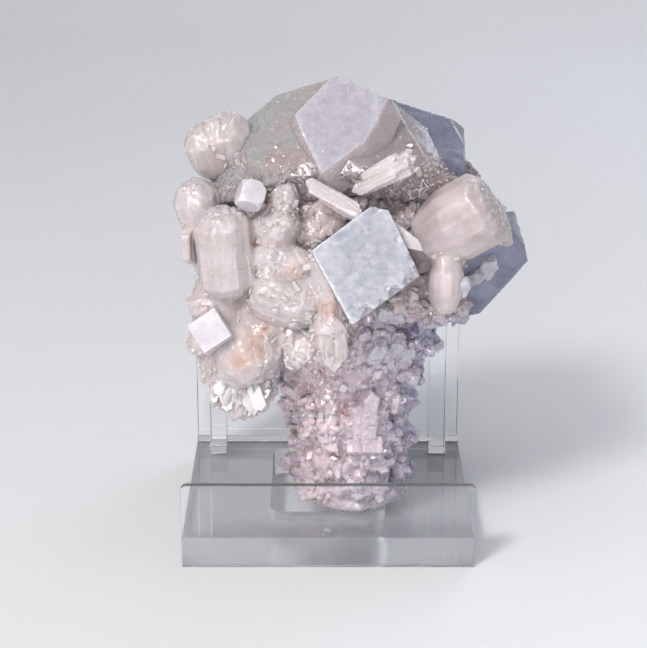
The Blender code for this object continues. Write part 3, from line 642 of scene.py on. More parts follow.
LEFT_FAN_HUB = np.array([-13.0, -15.0, 63.0])
RIGHT_FAN_HUB = np.array([-3.0, -17.0, 72.0])
SHEAF_SEAM = 1.5
BLADE_SEAM = 0.15
CREASE_WIDTH = 1.4
EDGE_WIDTH = 0.7
STEP_PATCH = 6.5
STEP_LEVELS = 4.4
STEP_SLOPE = 0.25
CHIP_SPACING = 1.7
CHIP_REACH = 0.75
END_START = 0.74
END_WIDTH = 1.6
PRISM_STRETCH = 0.11
BREAK_STRETCH = 0.3


def flat_faced(name, crystal, mesh_size):
    """One crystal with an even, dense mesh whose points lie on its flat faces."""
    item = fuse(name, joined_mesh(name, [crystal]), mesh_size)
    points, _ = read_points(item)
    normals = np.array([face[0] for face in crystal["faces"]])
    for _ in range(6):
        gap, _, which = outside(points, crystal)
        points = points - normals[which] * gap[:, None]
    write_points(item, points)
    return item


def bite(item, places):
    """Break small pieces out of a crystal's edges: place, radius and the way inward."""
    points, _ = read_points(item)
    for place, radius, inward in places:
        way = Vector(inward).normalized()
        reach = np.linalg.norm(points - np.array(place), axis=1)
        rough = radius * (1.0 + 0.35 * noise(points, 0.9, 51))
        push = np.clip(rough - reach, 0.0, None)
        points = points + np.array(way) * push[:, None]
    write_points(item, points)


def weather_faces(item, crystal, steps, chip, seed):
    """Low growth steps on the flat faces and small chips along the edges of a crystal."""
    points, _ = read_points(item)
    best, second, which = outside(points, crystal)
    normals = np.array([face[0] for face in crystal["faces"]])[which]
    level = layered(points, STEP_PATCH, seed, 2) * STEP_LEVELS
    step = np.clip((level - np.floor(level)) / STEP_SLOPE, 0.0, 1.0)
    terrace = (np.floor(level) + eased(step)) / 2.0
    fine = layered(points, 1.6, seed + 5) * 0.25
    edge = np.clip(1.0 - (best - second) / EDGE_WIDTH, 0.0, 1.0)
    nick = np.clip(CHIP_REACH - nearest_spot(points, CHIP_SPACING, seed + 9), 0.0, 1.0)
    nick = nick * np.clip(layered(points, 3.0, seed + 3) + 0.15, 0.0, 1.0)
    drop = -np.abs(terrace) * steps - np.abs(fine) * steps * 0.5 - edge * edge * nick * chip
    write_points(item, points + normals * drop[:, None])
    # The edge mask goes to the materials, which paint a highlight along the crystal's edges.
    store(item, "edge", edge)


def left_jag(points):
    """Where the left mass breaks up into crossing plates."""
    low = fade(points[:, 2], 43.0, 40.0)
    edge = fade(points[:, 0], -22.5, -24.5) * fade(points[:, 2], 62.0, 58.0)
    inner = fade(points[:, 0], -15.5, -13.5)
    return np.maximum(np.maximum(0.6 * low, 0.35 * edge), 0.14 + 0.26 * inner)


def fans(points, seed):
    """Ridges that spread from two middles of the left mass, like the leaves of a fan."""
    near_left = points[:, 0] < -8.5
    away = points - np.where(near_left[:, None], LEFT_FAN_HUB, RIGHT_FAN_HUB)
    spread = away / lengths(away) * 11.0 + away * 0.10
    return facets(spread, 1.5, seed, 0.34) + facets(spread, 0.7, seed + 2, 0.22)


def weather_sheaves(item, crystals, ridge, rough, seed, jag, seam_width):
    """Long narrow faces along each sheaf, broken ends and plates where they cross."""
    points, normals = read_points(item)
    gaps = np.stack([outside(points, crystal)[0] for crystal in crystals])
    owner = gaps.argmin(axis=0)
    lift = np.zeros(len(points))
    ending = np.zeros(len(points))
    for index in np.unique(owner):
        mine = owner == index
        crystal = crystals[index]
        place = points[mine] - np.array(crystal["centre"])
        along, side, back = [place @ np.array(axis) for axis in crystal["axes"]]
        stretched = np.stack([side, back, along * PRISM_STRETCH], axis=1)
        prisms = facets(stretched, 2.0, seed + index, 0.28) + facets(stretched, 0.8, seed + 40, 0.22)
        end = np.clip((np.abs(along) - crystal["half_long"] * END_START) / END_WIDTH, 0.0, 1.0)
        facing_end = np.abs(normals[mine] @ np.array(crystal["axes"][0]))
        ending[mine] = end * facing_end
        shortened = np.stack([side, back, along * BREAK_STRETCH], axis=1)
        broken = facets(shortened, 1.1, seed + 80, 0.7) + facets(place, 0.7, seed + 90, 0.5)
        lift[mine] = prisms * ridge * (1.0 - facing_end) + broken * rough * ending[mine]
    gaps.sort(axis=0)
    seam = np.clip(1.0 - gaps[1] / seam_width, 0.0, 1.0) ** 2
    lift *= 1.0 - 0.3 * seam
    lift += layered(points, 7.0, seed + 19, 2) * 0.16
    if jag:
        lift += jag(points) * (facets(points, 4.4, seed + 21, 0.20) + fans(points, seed + 23))
    write_points(item, points + normals * lift[:, None])
    # The seam mask goes to the material, which tints it brownish: partly stain, partly painted shade in
    # the crease.
    store(item, "seam", seam)
    store(item, "stain", near_spots(points, STAIN_SPOTS))


def fill_seams(item, crystals, rounds):
    """Round out the creases where two crystals meet."""
    for turn in range(rounds):
        points, _ = read_points(item)
        if turn % 3 == 0:
            gaps = np.stack([outside(points, crystal)[0] for crystal in crystals])
            gaps.sort(axis=0)
            crease = np.clip(1.0 - gaps[1] / CREASE_WIDTH, 0.0, 1.0)
        smoothed(item, 2)
        relaxed, normals = read_points(item)
        relaxed = points + (relaxed - points) * crease[:, None]
        write_points(item, relaxed + normals * (crease * 0.10)[:, None])


# Coats of small crystals

ORIGIN = (0.0, 0.0, 0.0)


def template(crystal):
    """One crystal as points and triangles."""
    shape = cut_solid(crystal)
    bmesh.ops.triangulate(shape, faces=shape.faces[:])
    shape.verts.ensure_lookup_table()
    corners = np.array([tuple(vert.co) for vert in shape.verts])
    triangles = np.array([[vert.index for vert in face.verts] for face in shape.faces])
    shape.free()
    return corners, triangles


def template_crystals(seed):
    """A few small crystal shapes of unit size, as points and triangles."""
    draw = np.random.default_rng(seed).uniform
    shapes = []
    for _ in range(7):
        length = draw(0.9, 1.5)
        crystal = apophyllite(
            ORIGIN, UP, ACROSS, draw(0.6, 0.8), length, draw(0.78, 1.0), draw(0.55, 0.85)
        )
        shapes.append(template(crystal))
    return shapes


def template_blades(seed):
    """A few small stilbite blades of unit size, as points and triangles."""
    draw = np.random.default_rng(seed).uniform
    shapes = []
    for _ in range(6):
        crystal = blade(
            ORIGIN, UP, ACROSS, draw(0.9, 1.5), draw(0.4, 0.6), draw(0.14, 0.30), draw(26.0, 52.0)
        )
        shapes.append(template(crystal))
    return shapes


def template_grain():
    """Plain block-shaped grain, as points and triangles."""
    faces = []
    for axis in (UP, ACROSS, UP.cross(ACROSS)):
        faces.append((axis, 0.8))
        faces.append((-axis, 0.8))
    return template({"centre": Vector(ORIGIN), "faces": faces})


def surface_samples(source, count, keep=None, layer=None):
    """Random places on a mesh, in millimetres, spread evenly over its area, with normals.

    keep gives each place its chance; layer names a number stored on the mesh that scales it.
    """
    mesh = source.data
    mesh.calc_loop_triangles()
    corners = np.zeros(len(mesh.loop_triangles) * 3, np.int64)
    mesh.loop_triangles.foreach_get("vertices", corners)
    corners = corners.reshape(-1, 3)
    points, _ = read_points(source)
    first = points[corners[:, 0]]
    edge_a = points[corners[:, 1]] - first
    edge_b = points[corners[:, 2]] - first
    cross = np.cross(edge_a, edge_b)
    area = np.linalg.norm(cross, axis=1)
    if keep is not None:
        area = area * keep(first + (edge_a + edge_b) / 3.0)
    if layer is not None:
        values = np.zeros(len(mesh.vertices))
        mesh.attributes[layer].data.foreach_get("value", values)
        area = area * values[corners].mean(axis=1)
    pick = dice.choice(len(area), size=count, p=area / area.sum())
    a = dice.random(count)
    b = dice.random(count)
    flip = a + b > 1.0
    a = np.where(flip, 1.0 - a, a)
    b = np.where(flip, 1.0 - b, b)
    places = first[pick] + edge_a[pick] * a[:, None] + edge_b[pick] * b[:, None]
    normals = cross[pick] / np.maximum(lengths(cross[pick]), 1e-9)
    return places, normals


def coat(name, sources, sizes, shapes, lean, sink, slot, look, keep=None, layer=None, turned=None):
    """One piece made of small crystals that stand on a surface.

    sources lists the meshes and how many crystals stand on each. sizes is the smallest size,
    the range above it and how rare the large ones are. turned changes the way they point.
    """
    samples = [surface_samples(source, count, keep, layer) for source, count in sources]
    places = np.concatenate([sample[0] for sample in samples])
    normals = np.concatenate([sample[1] for sample in samples])
    if turned is not None:
        normals = turned(places, normals)
    count = len(places)
    size = sizes[0] + sizes[1] * dice.random(count) ** sizes[2]
    axis = normals + dice.normal(0.0, lean, (count, 3))
    axis = axis / lengths(axis)
    side = dice.normal(0.0, 1.0, (count, 3))
    side = side - axis * (side * axis).sum(1)[:, None]
    side = side / lengths(side)
    third = np.cross(axis, side)
    kind = dice.integers(0, len(shapes), count)
    tone = dice.random(count)
    all_points = []
    all_faces = []
    tones = []
    start = 0
    for index in range(count):
        corners, triangles = shapes[kind[index]]
        shape = (
            corners[:, 0:1] * side[index] + corners[:, 1:2] * third[index]
            + (corners[:, 2:3] + sink) * axis[index]
        )
        all_points.append(places[index] + shape * size[index])
        all_faces.append(triangles + start)
        tones.append(np.full(len(corners), tone[index]))
        start += len(corners)
    points = np.concatenate(all_points)
    mesh = bpy.data.meshes.new(name)
    mesh.from_pydata(points.tolist(), [], np.concatenate(all_faces).tolist())
    item = add_object(name, mesh)
    write_points(item, points)
    store(item, "tone", np.concatenate(tones))
    store(item, "stain", near_spots(points, STAIN_SPOTS + STEM_STAINS))
    store_zeros(item, "seam", "edge")
    return finish(item, slot, look, smooth=False)


# Materials


class Nodes:
    """Short way to wire the nodes of one material."""

    def __init__(self, name, **values):
        self.material = bpy.data.materials.new(name)
        self.material.use_nodes = True
        self.tree = self.material.node_tree
        self.shader = self.tree.nodes["Principled BSDF"]
        self.place = self.add("ShaderNodeTexCoord").outputs["Object"]
        for key, value in values.items():
            self.shader.inputs[key.replace("_", " ")].default_value = value

    def add(self, kind, inputs=None, **settings):
        """A node with its settings, and with a value or another node's output for its inputs."""
        node = self.tree.nodes.new(kind)
        for key, value in settings.items():
            setattr(node, key, value)
        for key, value in (inputs or {}).items():
            self.feed(node.inputs[key], value)
        return node

    def feed(self, socket, value):
        """Give an input a number, a colour or the output of another node."""
        if isinstance(value, bpy.types.NodeSocket):
            self.tree.links.new(value, socket)
        elif socket.type == "RGBA":
            socket.default_value = (*value, 1.0)
        else:
            socket.default_value = value

    def noise(self, size, detail=3.0, roughness=0.55, stretch=None):
        """Noise with features about size millimetres across, stretched when asked."""
        place = self.place
        if stretch:
            mapping = self.add("ShaderNodeMapping", {"Vector": place, "Scale": stretch})
            place = mapping.outputs["Vector"]
        return self.add("ShaderNodeTexNoise", {
            "Vector": place, "Scale": 1.0 / (size * MM), "Detail": detail, "Roughness": roughness,
        }).outputs["Fac"]

    def cloud(self, size, low, high, to_low, to_high, detail=3.0, roughness=0.55, stretch=None):
        """Noise whose range from low to high becomes that from to_low to to_high."""
        return self.range(self.noise(size, detail, roughness, stretch), low, high, to_low, to_high)

    def attribute(self, name):
        """A number stored on the mesh."""
        return self.add("ShaderNodeAttribute", attribute_name=name).outputs["Fac"]

    def ramp(self, source, stops):
        """Colours along a number."""
        node = self.add("ShaderNodeValToRGB", {"Fac": source})
        elements = node.color_ramp.elements
        elements[0].position = stops[0][0]
        elements[1].position = stops[-1][0]
        for position, _ in stops[1:-1]:
            elements.new(position)
        for element, (_, colour) in zip(elements, stops):
            element.color = (*colour, 1.0)
        return node.outputs["Color"]

    def mix(self, amount, first, second):
        """Blend two colours."""
        inputs = {"Factor": amount, "A": first, "B": second}
        return self.add("ShaderNodeMix", inputs, data_type="RGBA").outputs["Result"]

    def range(self, source, low, high, to_low, to_high):
        """Move a number from one range to another."""
        return self.add("ShaderNodeMapRange", {
            "Value": source, "From Min": low, "From Max": high, "To Min": to_low,
            "To Max": to_high,
        }, clamp=True).outputs["Result"]

    def along(self, axis, low, high):
        """Position along one axis, from 0 at low to 1 at high, in millimetres."""
        node = self.add("ShaderNodeSeparateXYZ", {"Vector": self.place})
        shift = HOME["XYZ".index(axis)] / MM
        return self.range(node.outputs[axis], (low + shift) * MM, (high + shift) * MM, 0.0, 1.0)

    def math(self, operation, first, second):
        """One sum of two numbers."""
        return self.add("ShaderNodeMath", {0: first, 1: second}, operation=operation).outputs[0]

    def bump(self, height, strength, depth):
        """Fine relief; depth is in millimetres."""
        below = self.shader.inputs["Normal"].links
        inputs = {"Strength": strength, "Distance": depth * MM, "Height": height}
        if below:
            inputs["Normal"] = below[0].from_socket
        self.feed(self.shader.inputs["Normal"], self.add("ShaderNodeBump", inputs).outputs["Normal"])

    def finished(self, colour, roughness):
        """The material with its colour and its roughness."""
        self.feed(self.shader.inputs["Base Color"], colour)
        self.feed(self.shader.inputs["Roughness"], roughness)
        return self.material


def shade(colour, share, most=1.0):
    """A darker or paler colour."""
    return tuple(min(part * share, most) for part in colour)


def crown_material():
    """Translucent grey-green crystal that turns brownish pink to the right, full of fine flaws, with
    tiny painted glints.
    """
    made = Nodes(
        "crown_crystal", IOR=1.535, Transmission_Weight=0.42, Coat_Weight=0.25,
        Subsurface_Weight=0.7, Subsurface_Radius=(1.0, 0.9, 0.9), Subsurface_Scale=0.004,
    )
    cloud = made.cloud(7.0, 0.3, 0.7, -0.35, 0.35, 4.0, 0.6)
    body = made.ramp(made.math("ADD", made.along("X", -22.0, 20.0), cloud), (
        (0.1, (0.52, 0.54, 0.52)), (0.45, (0.60, 0.53, 0.53)), (0.9, (0.54, 0.45, 0.46)),
    ))
    brown = made.cloud(2.2, 0.36, 0.58, 0.25, 1.0, 5.0, 0.7)
    body = made.mix(made.math("MULTIPLY", made.attribute("stain"), brown), body, (0.56, 0.43, 0.42))
    body = made.mix(made.cloud(1.3, 0.52, 0.66, 0.0, 0.55, 5.0, 0.7), body, (0.82, 0.79, 0.79))
    # Painted glints: tiny near-white specks.
    body = made.mix(made.cloud(0.42, 0.66, 0.71, 0.0, 0.9, 3.0, 0.75), body, (0.95, 0.93, 0.93))
    made.bump(made.noise(0.9), 0.25, 0.12)
    return made.finished(body, made.cloud(2.0, 0.35, 0.7, 0.10, 0.34))


def milky_material(name, pale, deep, clear, rough, flank=None, depth=2.8):
    """Milky blue-white crystal with faint streaks, a painted highlight along its edges, and darker
    flanks when asked.

    depth is how far light spreads under the surface, in millimetres.
    """
    made = Nodes(
        name, IOR=1.535, Transmission_Weight=clear, Subsurface_Weight=0.75,
        Subsurface_Radius=(0.95, 1.0, 1.1), Subsurface_Scale=depth * MM,
        Coat_Weight=0.25, Coat_Roughness=0.10,
    )
    streak = made.cloud(2.4, 0.3, 0.72, 0.0, 0.75, 5.0, 0.65, (1.0, 0.35, 1.4))
    blend = made.math("ADD", streak, made.cloud(5.0, 0.3, 0.7, 0.0, 0.35))
    body = made.ramp(blend, ((0.15, deep), (0.9, pale)))
    # Painted highlight: paler colour along the edges.
    edge = made.range(made.attribute("edge"), 0.2, 1.0, 0.0, 0.5)
    body = made.mix(edge, body, (0.74, 0.74, 0.78))
    body = made.mix(made.cloud(1.7, 0.50, 0.68, 0.0, 0.40, 4.0, 0.6), body, (0.74, 0.74, 0.77))
    if flank:
        side = made.attribute("flank")
        body = made.mix(side, body, flank)
        clearness = made.range(side, 0.0, 1.0, clear, 0.35)
        made.feed(made.shader.inputs["Transmission Weight"], clearness)
    made.bump(made.noise(1.4, 3.0, 0.5), 0.20, 0.12)
    return made.finished(body, made.cloud(1.2, 0.3, 0.7, rough * 0.7, rough * 1.3, 4.0))


def stilbite_material(name, cream, rose, gloss, depth=2.8, clear=0.06):
    """Pearly cream stilbite with rose and rust stains in its hollows, and a brownish tint along the
    seams between crystals that is partly stain and partly painted shade.

    depth is how far light spreads under the surface, in millimetres.
    """
    made = Nodes(
        name, IOR=1.50, Transmission_Weight=clear, Subsurface_Weight=0.85,
        Subsurface_Radius=(1.0, 0.88, 0.84), Subsurface_Scale=depth * MM,
        Coat_Weight=0.35, Coat_Roughness=0.18,
    )
    stops = ((0.32, rose), (0.50, cream), (0.72, shade(cream, 1.14)))
    body = made.ramp(made.noise(6.5, 4.0, 0.6), stops)
    veil = made.cloud(1.9, 0.50, 0.70, 0.0, 0.40, 4.0, 0.6)
    body = made.mix(veil, body, shade(cream, 1.22, 0.92))
    fibre = made.cloud(1.5, 0.44, 0.66, 0.0, 0.24, 3.0, 0.6, (1.0, 1.0, 0.12))
    body = made.mix(fibre, body, shade(rose, 0.94))
    stain = made.cloud(1.8, 0.30, 0.62, 0.0, 1.2, 4.0, 0.65)
    stain = made.math("MULTIPLY", made.attribute("stain"), stain)
    body = made.mix(made.range(stain, 0.0, 0.8, 0.0, 0.95), body, (0.57, 0.395, 0.335))
    # Seams where two crystals meet turn brownish: partly stain, partly painted shade in the crease.
    seam = made.cloud(3.5, 0.35, 0.65, 0.15, 0.9)
    seam = made.math("MULTIPLY", made.attribute("seam"), seam)
    body = made.mix(seam, body, (0.60, 0.44, 0.38))
    made.bump(made.noise(0.7, 3.0, 0.6), 0.22, 0.10)
    made.bump(made.noise(1.6), 0.25, 0.20)
    return made.finished(body, made.cloud(2.2, 0.3, 0.7, gloss, gloss + 0.25, 4.0))


def druse_material():
    """Sparkling coat, rose-lilac at the left front, with painted shade that turns it dark blue-lilac at
    the right and back.
    """
    made = Nodes(
        "lilac_druse", IOR=1.53, Transmission_Weight=0.26, Subsurface_Weight=0.70,
        Subsurface_Radius=(1.0, 0.8, 0.85), Subsurface_Scale=0.0006,
        Coat_Weight=0.6, Coat_Roughness=0.08,
    )
    # Painted shade: darker and bluer towards the right and the back, away from the key light.
    shaded_side = made.math("MAXIMUM", made.along("X", -4.0, 22.0), made.along("Y", -18.0, 6.0))
    body = made.ramp(made.math("ADD", shaded_side, made.cloud(4.0, 0.3, 0.7, -0.25, 0.25)), (
        (0.15, (0.88, 0.72, 0.76)), (0.55, (0.78, 0.68, 0.77)), (0.95, (0.50, 0.47, 0.62)),
    ))
    # On the core, tone is the facets' height, so these mixes paint highlight on raised facets and shade
    # in the pits between them; on the small crystals tone differs at random.
    tone = made.attribute("tone")
    body = made.mix(made.range(tone, 0.55, 1.0, 0.0, 0.55), body, (0.90, 0.86, 0.88))
    body = made.mix(made.range(tone, 0.20, 0.0, 0.0, 0.45), body, (0.56, 0.38, 0.39))
    high = made.math("ADD", made.along("Z", 51.0, 56.0), made.cloud(5.0, 0.3, 0.7, -0.3, 0.3))
    body = made.mix(made.range(high, 0.1, 0.9, 0.0, 0.85), body, (0.68, 0.575, 0.565))
    stain = made.cloud(1.2, 0.36, 0.60, 0.0, 1.0, 4.0, 0.65)
    stain = made.math("MULTIPLY", made.attribute("stain"), stain)
    body = made.mix(made.range(stain, 0.0, 0.8, 0.0, 0.9), body, (0.40, 0.16, 0.12))
    made.bump(made.noise(0.35, 2.0), 0.25, 0.05)
    return made.finished(body, made.cloud(1.0, 0.3, 0.7, 0.12, 0.38, 2.0))


def blue_material():
    """Clear blue-grey crystal, with a painted highlight along its edges."""
    made = Nodes("blue_grey_crystal", IOR=1.535, Transmission_Weight=0.55, Coat_Weight=0.15)
    stops = ((0.30, (0.25, 0.275, 0.40)), (0.70, (0.42, 0.435, 0.555)))
    body = made.ramp(made.noise(5.0, 4.0, 0.6), stops)
    # Painted highlight: paler colour along the edges.
    edge = made.range(made.attribute("edge"), 0.2, 1.0, 0.0, 0.4)
    made.bump(made.noise(0.9), 0.25, 0.10)
    return made.finished(
        made.mix(edge, body, (0.62, 0.64, 0.72)), made.cloud(1.6, 0.3, 0.7, 0.12, 0.32)
    )


def acrylic_material():
    """Clear polished acrylic with hairline scratches."""
    made = Nodes("clear_acrylic", IOR=1.49, Transmission_Weight=1.0)
    made.bump(made.cloud(0.5, 0.62, 0.70, 0.0, 1.0, 2.0, 0.5, (0.04, 1.0, 1.0)), 0.06, 0.02)
    return made.finished((0.965, 0.975, 0.985), made.cloud(9.0, 0.4, 0.75, 0.012, 0.06))


def sawn_material():
    """Sawn and drilled acrylic, frosted by fine tool marks."""
    made = Nodes("sawn_acrylic", IOR=1.49, Transmission_Weight=0.92)
    marks = made.noise(0.25, 2.0, 0.5, (1.0, 1.0, 0.05))
    made.bump(marks, 0.5, 0.06)
    return made.finished((0.94, 0.95, 0.97), made.range(marks, 0.3, 0.7, 0.28, 0.5))


def finish(item, slot, material, *nodes, smooth=True):
    """Give a piece its material and its body, and hide the solids that it stands for."""
    item.data.materials.clear()
    item.data.materials.append(material)
    if smooth:
        item.data.shade_smooth()
        item.data.set_sharp_from_angle(angle=math.radians(24.0))
    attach(item, "root")
    if nodes:
        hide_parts(*nodes)
    return item


# The specimen

crown_look = crown_material()
kite_look = milky_material(
    "kite_crystal", (0.62, 0.59, 0.66), (0.50, 0.48, 0.55), 0.30, 0.26, (0.68, 0.60, 0.61)
)
centre_look = milky_material(
    "centre_crystal", (0.56, 0.55, 0.60), (0.33, 0.355, 0.41), 0.08, 0.32
)
bright_look = milky_material(
    "bright_crystal", (0.74, 0.71, 0.74), (0.64, 0.58, 0.63), 0.12, 0.18
)
blue_look = blue_material()
cream_look = stilbite_material(
    "pearly_stilbite", (0.56, 0.505, 0.51), (0.51, 0.435, 0.42), 0.22
)
peach_look = stilbite_material(
    "peach_stilbite", (0.54, 0.475, 0.475), (0.47, 0.385, 0.385), 0.26
)
white_look = stilbite_material(
    "white_stilbite", (0.78, 0.74, 0.76), (0.72, 0.66, 0.67), 0.14, 0.5, 0.25
)
pocket_look = stilbite_material(
    "pocket_stilbite", (0.76, 0.68, 0.67), (0.68, 0.57, 0.55), 0.16, 0.25, 0.30
)
druse_look = druse_material()
pale_look = stilbite_material(
    "pale_lilac_crystal", (0.63, 0.55, 0.595), (0.55, 0.445, 0.49), 0.14, 0.9
)
glassy_look = milky_material(
    "glassy_crystal", (0.82, 0.80, 0.86), (0.66, 0.65, 0.73), 0.35, 0.10, depth=0.5
)
clear_look = stilbite_material(
    "clear_blades", (0.85, 0.785, 0.795), (0.78, 0.70, 0.71), 0.10, 0.3, 0.40
)
skirt_look = stilbite_material(
    "crown_crust", (0.68, 0.60, 0.60), (0.58, 0.48, 0.48), 0.12, 0.3, 0.45
)
fan_look = stilbite_material(
    "fan_plates", (0.80, 0.755, 0.765), (0.75, 0.69, 0.69), 0.32, 0.5, 0.25
)
speck_look = milky_material(
    "white_specks", (0.86, 0.84, 0.85), (0.80, 0.77, 0.79), 0.0, 0.2, depth=0.05
)

# Chips along the edges of the centre crystal's face: right, up, radius.
CENTRE_BITES = (
    (11.0, -2.4, 2.3), (8.8, -4.0, 1.3), (6.0, -6.2, 1.8), (3.0, -8.2, 1.1), (0.2, -10.3, 1.7),
    (9.4, 1.2, 1.0), (6.7, 5.0, 0.8), (1.9, 11.4, 1.3), (-2.4, -10.6, 1.0), (-11.4, 1.8, 1.1),
    (-6.4, 6.4, 0.6), (-5.6, -6.2, 0.7),
)


def face_spot(right_by, up_by, radius):
    """A chip on the front face of the centre crystal, from the face's middle."""
    middle = CENTRE_CRYSTAL["centre"] + CENTRE_CRYSTAL["axes"][0] * 8.0
    outward = ACROSS * right_by + RISE * up_by
    return tuple(middle + outward), radius, -outward - TOWARD * 4.0


def crystal_piece(name, crystal, mesh_size, steps, chip, seed, slot, look, *nodes):
    """One flat-faced crystal with a weathered surface."""
    item = flat_faced(name, crystal, mesh_size)
    weather_faces(item, crystal, steps, chip, seed)
    return finish(item, slot, look, *nodes)


def sheaf_piece(name, crystals, mesh_size, ridge, rough, seed, look, node, jag=None):
    """Stilbite sheaves that have grown together, with their creases filled."""
    item = fuse(name, joined_mesh(name, crystals), mesh_size)
    smoothed(item, 1)
    fill_seams(item, crystals, 4)
    weather_sheaves(item, crystals, ridge, rough, seed, jag, SHEAF_SEAM)
    return finish(item, "stilbite", look, node)


def blades_piece(name, crystals, seed, node):
    """A bundle of thin clear blades."""
    item = fuse(name, joined_mesh(name, crystals), 0.18)
    weather_sheaves(item, crystals, 0.55, 0.6, seed, None, BLADE_SEAM)
    return finish(item, "stilbite", clear_look, node)


crown_item = crystal_piece(
    "crown_crystal", CROWN, 0.42, 0.10, 0.5, 3, "crown_crystal", crown_look, "apophyllite_crown"
)
store(crown_item, "stain", near_spots(read_points(crown_item)[0], CROWN_STAINS))
kite = kite_crystal()
kite_item = crystal_piece("kite_crystal", kite, 0.32, 0.06, 0.35, 5, "milky_crystal", kite_look)
kite_face = outside(read_points(kite_item)[0], kite)[2]
store(kite_item, "flank", (kite_face > 1).astype(float))
rear_item = crystal_piece(
    "rear_crystal", REAR, 0.50, 0.12, 0.5, 7, "blue_grey_crystal", blue_look, "apophyllite_rear"
)
right_item = crystal_piece(
    "right_crystal", LOW_RIGHT, 0.44, 0.12, 0.5, 9, "blue_grey_crystal", blue_look,
    "apophyllite_right"
)
centre_item = crystal_piece(
    "centre_crystal", CENTRE_CRYSTAL, 0.28, 0.07, 0.9, 11, "milky_crystal", centre_look,
    "apophyllite_centre"
)
bite(centre_item, [face_spot(*spot) for spot in CENTRE_BITES])
crystal_piece(
    "small_left_crystal", SMALL_LEFT, 0.24, 0.04, 0.3, 13, "milky_crystal", bright_look,
    "apophyllite_small_left"
)
crystal_piece(
    "small_cube_crystal", SMALL_CUBE, 0.22, 0.05, 0.4, 15, "milky_crystal", bright_look,
    "apophyllite_small_cube"
)

upper_left_item = sheaf_piece(
    "upper_left_sheaf", UPPER_LEFT, 0.28, 0.24, 0.5, 21, cream_look, "stilbite_upper_left"
)
left_item = sheaf_piece(
    "left_sheaves", LEFT_MASS, 0.33, 0.40, 0.6, 23, cream_look, "stilbite_left", left_jag
)
right_mass_item = sheaf_piece(
    "right_sheaves", RIGHT_MASS, 0.30, 0.20, 0.4, 25, peach_look, "stilbite_right"
)
blades_piece("upper_blades", BLADE_UPPER, 27, "stilbite_blade_upper")
blades_piece("lower_blades", BLADE_LOWER, 29, "stilbite_blade_lower")

# The matrix: its core, then coats of larger and smaller crystals.
matrix_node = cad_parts["matrix"]
core_item = fuse("matrix_core", matrix_node.data.copy(), 0.54)
core_points, core_normals = read_points(core_item)
core_lift = facets(core_points, 2.8, 31, 0.42) + facets(core_points, 1.3, 37, 0.36)
core_floor = fade(core_points[:, 2], 7.2, 9.2)
write_points(core_item, core_points + core_normals * (core_lift * core_floor)[:, None])
# tone is the facets' height: the material paints highlight on the raised facets and shade in the pits.
store(core_item, "tone", 0.45 + 0.55 * core_lift)
store(core_item, "stain", near_spots(core_points, STEM_STAINS))
finish(core_item, "druse", druse_look, "matrix", smooth=False)

dice = np.random.default_rng(5)
druse_shapes = template_crystals(2)
blade_shapes = template_blades(3)
mixed_shapes = blade_shapes + druse_shapes[:3]
PLATE_FAN_HUB = np.array([-12.0, -14.0, 64.0])


def clear_of_stand(places):
    """Only above the shoulder that rests on the base."""
    return (places[:, 2] > 8.6).astype(float)


def pocket(places):
    """The hollows above the stem, at the front."""
    return fade(places[:, 2], 58.0, 64.0) * fade(places[:, 1], 2.0, -4.0)


def crown_skirt(places):
    """The lower front of the crown, thinning out upward."""
    low = fade(places[:, 2], 91.0, 82.0) ** 2
    under = 1.5 * (places[:, 2] < 87.5) * (places[:, 1] < -17.0)
    return np.maximum(low, under) * (places[:, 1] < -8.0)


def plated(places):
    """Where plates stand out of the left mass."""
    return np.clip(left_jag(places) - 0.2, 0.0, 1.0)


def fanned(places, normals):
    """Directions that spread like a fan, leaning a little outward."""
    way = places - PLATE_FAN_HUB
    return normals * 0.25 + way / lengths(way) * 0.9


def not_at_back(places):
    """Everywhere but far back."""
    return (places[:, 1] < 12.0).astype(float)


coat(
    "druse_crystals", [(matrix_node, 2600)], (0.35, 1.35, 2.4), druse_shapes, 0.5, -0.25,
    "druse", druse_look, clear_of_stand
)
coat(
    "pocket_blades", [(matrix_node, 620)], (0.4, 1.5, 2.6), mixed_shapes, 0.7, -0.35,
    "stilbite", pocket_look, pocket
)
# A crust of small clear crystals over the foot of the crown.
coat(
    "crown_crust", [(crown_item, 1700)], (0.22, 0.75, 2.4), mixed_shapes, 0.8, -0.4,
    "crown_crystal", skirt_look, crown_skirt
)
# Crystals that fill the seams between the sheaves.
coat(
    "seam_crystals", [(left_item, 420), (right_mass_item, 60), (upper_left_item, 30)],
    (0.26, 1.0, 2.6), blade_shapes, 0.9, -0.35, "stilbite", clear_look, layer="seam"
)
# Thin plates that stand out of the lower left sheaves.
coat(
    "left_plates", [(left_item, 240)], (0.9, 1.7, 1.6), blade_shapes, 0.22, -0.75,
    "stilbite", clear_look, plated, turned=fanned
)
# Fine white grains on the large faces.
coat(
    "white_grains", [(crown_item, 620), (kite_item, 30)], (0.07, 0.15, 2.0), [template_grain()],
    0.8, 0.2, "milky_crystal", speck_look, not_at_back
)


# Larger crystals that stand out of the stem and of the faces around them.


def seen_surface(items):
    """Surface of several pieces, in millimetres."""
    corners = []
    faces = []
    for item in items:
        start = len(corners)
        points, _ = read_points(item)
        corners += [tuple(point) for point in points]
        faces += [tuple(start + corner for corner in face.vertices) for face in item.data.polygons]
    return BVHTree.FromPolygons(corners, faces)


surface = seen_surface([
    core_item, crown_item, left_item, right_mass_item, right_item, centre_item, rear_item,
])


def resting(place, lift=0.0):
    """Where the line of sight through a place meets the specimen."""
    way = (Vector(place) - CAMERA_SPOT).normalized()
    hit = surface.ray_cast(CAMERA_SPOT, way)[0]
    return hit - way * lift


